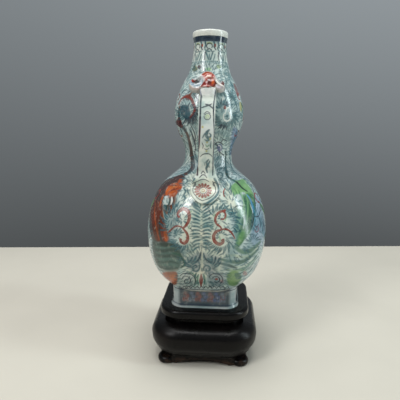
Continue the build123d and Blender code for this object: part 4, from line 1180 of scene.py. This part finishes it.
# Painted shade: the strap's top, darker where the head overhangs it
strap.wash(rgb(128, 128, 116), U(330, 620, 540, 620, 530, 760, 340, 760), 3.4, .95)
strap.wash(rgb(238, 242, 240), U(350, 1000, 500, 1000, 505, 1300, 330, 1300), 2, .6)
strap.wash(rgb(240, 241, 228), U(330, 1300, 500, 1300, 490, 1600, 315, 1600), 2, .7)
strap.brush(rgb(92, 26, 30), U(355, 985, 352, 1090, 346, 1200, 340, 1300, 334, 1400, 326,
    1567), 1.5, .35, .95, ends=.9)
strap.line("ink", U(508, 700, 507, 745, 502, 790, 494, 845, 491, 900, 493, 1000, 497, 1100, 495, 1200, 492, 1300, 488,
    1400, 482, 1567), .95, ends=.9)
strap.line("ink", U(408, 850, 440, 860, 474, 884, 497, 906), 1.0, ends=.5)
strap.line("ink", U(400, 960, 420, 945, 448, 950, 462, 975, 450, 1000, 424, 1008, 400, 994, 394, 972), .5, ends=1)
strap.wash(rgb(186, 206, 130), U(*spot(428, 978, 24)), .5, .6)
strap.brush(WHITE, U(425, 975, 436, 990), 1.0, .3, 1, .3)
for cx, cy in ((380, 1082), (425, 1236), (420, 1325), (455, 1200)):
    strap.wash(YELLOW, U(*spot(cx, cy, 11)), .3, .85, .3)
strap.brush(rgb(90, 150, 110), U(410, 1260, 425, 1280, 446, 1262), 1.0, .3, .8)
strap.wash(CREAM, A(620, 300, 830, 300, 850, 440, 780, 520, 700, 560, 620, 500, 580, 420), 2, .8)
for places, width in (
        ((622, 300, 590, 345, 572, 400, 574, 455, 612, 512, 655, 548, 702, 575), 1.3),
        ((830, 300, 856, 345, 874, 398, 866, 450, 830, 500, 770, 545, 702, 575), 1.3),
        ((640, 330, 612, 380, 606, 430, 630, 475, 664, 508, 704, 530), .6),
        ((812, 330, 836, 380, 842, 430, 818, 472, 770, 508, 704, 530), .6)):
    strap.line("blue" if width > 1 else "ink", A(*places), width, ends=.9)
lines(strap, "ink", U, .8, (
    (1.3, 356, 700, 360, 740, 368, 775, 362, 805, 358, 860, 357, 940, 355, 1000),
    (.6, 354, 985, 351, 1090, 346, 1200, 339, 1300, 334, 1400, 326, 1567)))
lines(strap, "ink", U, .4, (
    (1.0, 366, 888, 400, 876, 436, 864, 474, 848), (.6, 392, 950, 425, 925, 460, 945),
    (.75, 356, 1382, 378, 1362, 410, 1352, 450, 1356, 476, 1380), (.6, 396, 1300, 420, 1310, 446, 1296),
    (.6, 374, 1240, 386, 1270, 380, 1300)))
lines(strap, "blue", U, .4, (
    (1.7, 446, 1112, 424, 1135, 418, 1165, 430, 1190, 440, 1215), (.9, 446, 1145, 462, 1160, 458, 1182, 440, 1180),
    (.8, 380, 1190, 396, 1160, 410, 1140), (.8, 400, 1210, 425, 1222, 450, 1215),
    (.7, 466, 1230, 458, 1270, 466, 1300), (1.5, 440, 1412, 420, 1440, 430, 1470, 418, 1500, 426, 1540),
    (1.0, 452, 1425, 440, 1460, 448, 1490), (.7, 396, 1440, 404, 1470)))
lines(strap, "ink", A, .4, (
    (.75, 598, 352, 622, 342, 634, 362, 620, 380), (.75, 852, 352, 830, 340, 816, 360, 828, 380),
    (.75, 690, 250, 712, 222, 736, 250), (.75, 672, 292, 700, 262, 728, 262, 752, 292),
    (.75, 650, 330, 690, 310, 730, 308, 772, 330)))
strap.line("red", A(876, 330, 882, 362), 1.2, ends=.6)
for k in range(15):
    a = 2 * math.pi * k / 15
    ring = []
    for reach, wide in ((34, 0), (56, .17), (84, .15), (95, 0), (84, -.15), (56, -.17)):
        ring += [712 + reach * math.cos(a + wide), 424 + .84 * reach * math.sin(a + wide)]
    strap.fill("red", A(*ring))
strap.wash(rgb(196, 190, 150), A(*spot(712, 424, 29, .84)), .4, .95, .5)
strap.line("ink", A(*spot(712, 424, 36, .84), 748, 424), .45, ends=1)
strap.line("red", A(694, 418, 712, 410, 730, 420, 716, 434, 700, 430), .5)

# Foot: a meander of smudged colour on each face, white rim and corners
foot.colour[:] = np.array(rgb(74, 86, 94))
across, along, level = np.abs(foot.outer).T
corner = np.clip((across - 19.5) / 2.5, 0, 1) * np.clip((along - 21.5) / 2.5, 0, 1)
shade = foot.colour[:foot.first]
shade += corner[:, None] * .75 * (np.array(rgb(206, 214, 214)) - shade)
rim = np.clip((47.6 - level) / .8, 0, 1)
shade += rim[:, None] * (np.array(rgb(214, 218, 214)) - shade)
foot.band("ink", 48.0, 48.5)
foot.band("ink", 60.6, 61.3)
HUES = (
    (146, 96, 92), (112, 126, 150), (150, 92, 84), (96, 112, 150), (140, 100, 100), (84, 104, 152), (120, 132, 150))
for face in range(4):
    c, s = math.cos(face * math.pi / 2), math.sin(face * math.pi / 2)
    half, depth = ((17.5, FOOT_L / 2), (19.5, FOOT_W / 2))[face % 2]
    for k, hue in enumerate(HUES):
        x = -half + (k + .5) * half * 2 / len(HUES)
        for dx, dz, w in ((-1.4, 52.4, 1.5), (1.2, 55.0, 1.7), (-.4, 57.8, 1.4), (1.6, 51.9, 1.0)):
            place = np.array([[c * (x + dx) + s * depth, s * (x + dx) - c * depth, dz, w]])
            which = foot.near(place, 3)
            foot.lay(which, foot.away(which, place), rgb(*hue), 1.0, .75, 0)
        for places in (
                ((x - 2, 51.6), (x - 1.8, 56.5), (x + 1.4, 56.5)),
                ((x + 1.8, 57.8), (x + 1.6, 53), (x - .6, 53), (x - .6, 55))):
            spine = np.array([(c * a + s * depth, s * a - c * depth, z, .28) for a, z in places])
            which = foot.near(spine, 1.2)
            foot.mark("red" if k % 2 == 0 else "ink", which, foot.away(which, spine) + .12)

# Heads
head.colour[:] = np.array(rgb(216, 208, 206))
head.wash(rgb(150, 172, 186), H(330, 640, 400, 600, 420, 660, 520, 700, 640, 640, 660, 560, 700, 560, 720, 640, 640,
    740, 520, 770, 400, 740, 340, 700), .5, .95)
head.wash(rgb(60, 70, 80), H(440, 650, 520, 690, 600, 660, 640, 600, 600, 600, 560, 580, 520, 610), .4, .85)
head.brush(rgb(212, 214, 218), H(640, 500, 680, 540, 680, 620, 620, 690, 520, 730, 420, 740), 1.2, .4, .9)
head.brush(rgb(168, 48, 28), H(430, 520, 412, 560, 430, 610, 470, 620, 500, 590), 1.9, .35, 1, ends=.8)
head.brush(rgb(60, 22, 18), H(560, 570, 520, 600, 470, 640), .9, .4, .8)
head.brush(rgb(236, 232, 226), H(500, 560, 560, 520, 640, 480, 700, 465), 1.3, .35, 1)
head.brush(rgb(40, 40, 48), H(440, 500, 540, 460, 640, 405, 710, 352, 750, 330), 1.1, .4, .85)
head.wash(rgb(176, 58, 34), H(690, 430, 740, 370, 830, 330, 930, 335, 1010, 370, 1060, 430, 1080, 520, 1120, 600,
    1170, 680, 1100, 700, 1080, 760, 1020, 790, 960, 760, 900, 790, 850, 790, 790, 760, 700, 780, 650, 770, 700, 700,
    740, 620, 760, 560, 740, 490), .45, .96)
head.wash(rgb(206, 96, 60), H(720, 400, 800, 345, 900, 330, 1000, 370, 960, 400, 860, 385, 780, 430), .5, .8)
head.wash(rgb(88, 22, 18), H(850, 560, 900, 530, 960, 520, 980, 600, 960, 700, 900, 730, 850, 680), .8, .9)
head.wash(rgb(70, 30, 14), H(1060, 560, 1110, 620, 1150, 690, 1100, 700, 1060, 780, 1010, 740, 1060, 680), .6, .85)
head.wash(rgb(206, 92, 28), H(985, 590, 1030, 580, 1050, 630, 1030, 690, 985, 680), .6, .9)
head.wash(rgb(150, 24, 26), H(720, 680, 790, 640, 850, 650, 850, 740, 790, 700, 700, 770, 660, 780), .5, .85)
head.brush(rgb(240, 214, 206), H(700, 470, 730, 500, 770, 560, 750, 620), 1.1, .5, .85)
head.brush(rgb(246, 214, 196), H(830, 480, 880, 462, 950, 468), 1.7, .5, .95, ends=.8)
head.brush(rgb(238, 180, 176), H(840, 690, 820, 740, 760, 790), .8, .35, .9)
head.brush(rgb(238, 186, 180), H(925, 740, 930, 790), .9, .35, .8)
head.brush(rgb(246, 236, 226), H(1060, 500, 1100, 570, 1150, 650, 1210, 700, 1290, 745, 1330,
    770), 1.5, .35, 1, ends=.7)
head.brush(rgb(206, 90, 74), H(1040, 440, 1060, 500, 1090, 560), .8, .35, .7)
head.brush(rgb(40, 40, 46), H(1060, 420, 1120, 490, 1180, 570, 1240, 620), 1.1, .35, .9)
head.brush(rgb(120, 46, 38), H(1290, 600, 1320, 640, 1310, 700, 1270, 680), 1.9, .4, .95, ends=.8)
head.brush(rgb(226, 196, 186), H(340, 780, 440, 830, 560, 845, 660, 825, 760, 790), 1.4, .6, .7)
head.wash(rgb(206, 200, 176), H(310, 690, 360, 720, 400, 780, 350, 770), .6, .7)
head.wash(rgb(212, 202, 212), H(1130, 720, 1240, 740, 1320, 790, 1240, 840, 1140, 830), .8, .7)

# Pieces: the lower bulb in its two pressed halves, and each handle and head with its rear copy
low.build(painted, "vase", ["lower_bulb_right"], "painted_porcelain", ("_right_skin", lambda c: c[:, 0] >= 0))
low.build(painted, "vase", ["lower_bulb_left"], "painted_porcelain", ("_left_skin", lambda c: c[:, 0] < 0))
for skin, nodes in ((high, ["upper_bulb_left", "upper_bulb_right"]), (neck, ["neck"]), (foot, ["foot_ring"])):
    skin.build(painted, "vase", nodes, "painted_porcelain")
for skin, material, slot, nodes in ((strap, handle_paint, "handle_glaze", ("strap_handle", "handle_lappet")),
                                    (head, enamel, "relief_enamel", ("ruyi_head",))):
    keep_v, keep_n = skin.v, skin.normal
    for end, turn in (("front", 1), ("rear", -1)):
        skin.v, skin.normal = keep_v * (turn, turn, 1), keep_n * (turn, turn, 1)
        skin.build(material, "vase", [name + "_" + end for name in nodes], slot,
                   ("_" + end + "_skin", lambda c: c[:, 2] > 0))


# Floor, backdrop and light
def cloth(name, colour, rough, scale, amount):
    """A dull colour with faint darker clouds."""
    material, tree, shader = new_material(name)
    shade = tuple(c * (1 - amount) for c in colour)
    share = ramp(tree, noise(tree, scale, 4).outputs[0], .35, .7)
    tree.links.new(mixed(tree, share, colour, shade), shader.inputs["Base Color"])
    shader.inputs["Roughness"].default_value = rough
    return material


def on_table(px, py):
    """Where a place in the picture lies on the table."""
    ray = sight(px, py)
    place = np.array(eye) - ray * (eye[2] / ray[2])
    return np.array((place[0] * MM, place[1] * MM, 0))


# The far edge is a line across the picture; the floor comes from it towards and under the camera, in metres
far_left, far_right, depth = on_table(-600, 249.4), on_table(1000, 244.2), np.array((0, 3, 0))
corners = [tuple(v) for v in (far_left - depth, far_right - depth, far_right, far_left)]
floor_mesh = bpy.data.meshes.new("floor")
floor_mesh.from_pydata(corners, [], [(0, 1, 2, 3)])
floor_mesh.materials.append(cloth("floor_cloth", rgb(205, 201, 188), .85, 7, .06))
floor = bpy.data.objects.new("floor", floor_mesh)
bpy.context.collection.objects.link(floor)


def lamp(name, place, target, size, power, tall, tone=(1, 1, 1)):
    """A square or upright panel of light, turned to a target; metres and watts."""
    light = bpy.data.lights.new(name, "AREA")
    light.shape = "RECTANGLE"
    light.size, light.size_y, light.energy = size, tall, power
    light.color = tone
    lamp_object = bpy.data.objects.new(name, light)
    lamp_object.location = place
    lamp_object.rotation_euler = (Vector(target) - Vector(place)).to_track_quat("-Z", "Y").to_euler()
    bpy.context.collection.objects.link(lamp_object)


lamp("window", (-.66, -.7, .95), (0, 0, .14), .3, 6.8, .66)
lamp("side", (1.0, -.2, .5), (0, 0, .15), .12, 6.2, 1.1, (.86, .97, 1))
lamp("overhead", (-.05, -.05, 1.35), (0, 0, .1), .8, 13.6, .8)

world = bpy.data.worlds.new("room")
bpy.context.scene.world = world
world.use_nodes = True
tree = world.node_tree
tree.nodes.clear()
# The wall, paler upwards and to the right, is there for the camera, reflections and glass; besides the lamps,
# what lights the object is an even, dim room
path = node(tree, "LightPath")
seen = sums(tree, "MAXIMUM", path.outputs["Is Camera Ray"], path.outputs["Is Transmission Ray"])
seen = sums(tree, "MAXIMUM", seen, path.outputs["Is Glossy Ray"])
room = node(tree, "Background", [("Color", (.8, .84, .88, 1)), ("Strength", .12)])
direction = node(tree, "SeparateXYZ", [("Vector", node(tree, "TexCoord").outputs["Generated"])])
sideways = sums(tree, "MULTIPLY_ADD", direction.outputs[0], .42, 1.0)
slant = sums(tree, "MULTIPLY", sums(tree, "ADD", direction.outputs[2], .31), sideways)
grey = mixed(tree, ramp(tree, slant, 0, .68, kind="LINEAR"), rgb(76, 79, 80), rgb(146, 153, 157))
wall = node(tree, "Background", [("Color", grey), ("Strength", 1.0)])
share = node(tree, "MixShader", [(0, seen), (1, room.outputs[0]), (2, wall.outputs[0])])
tree.links.new(share.outputs[0], node(tree, "OutputWorld").inputs[0])
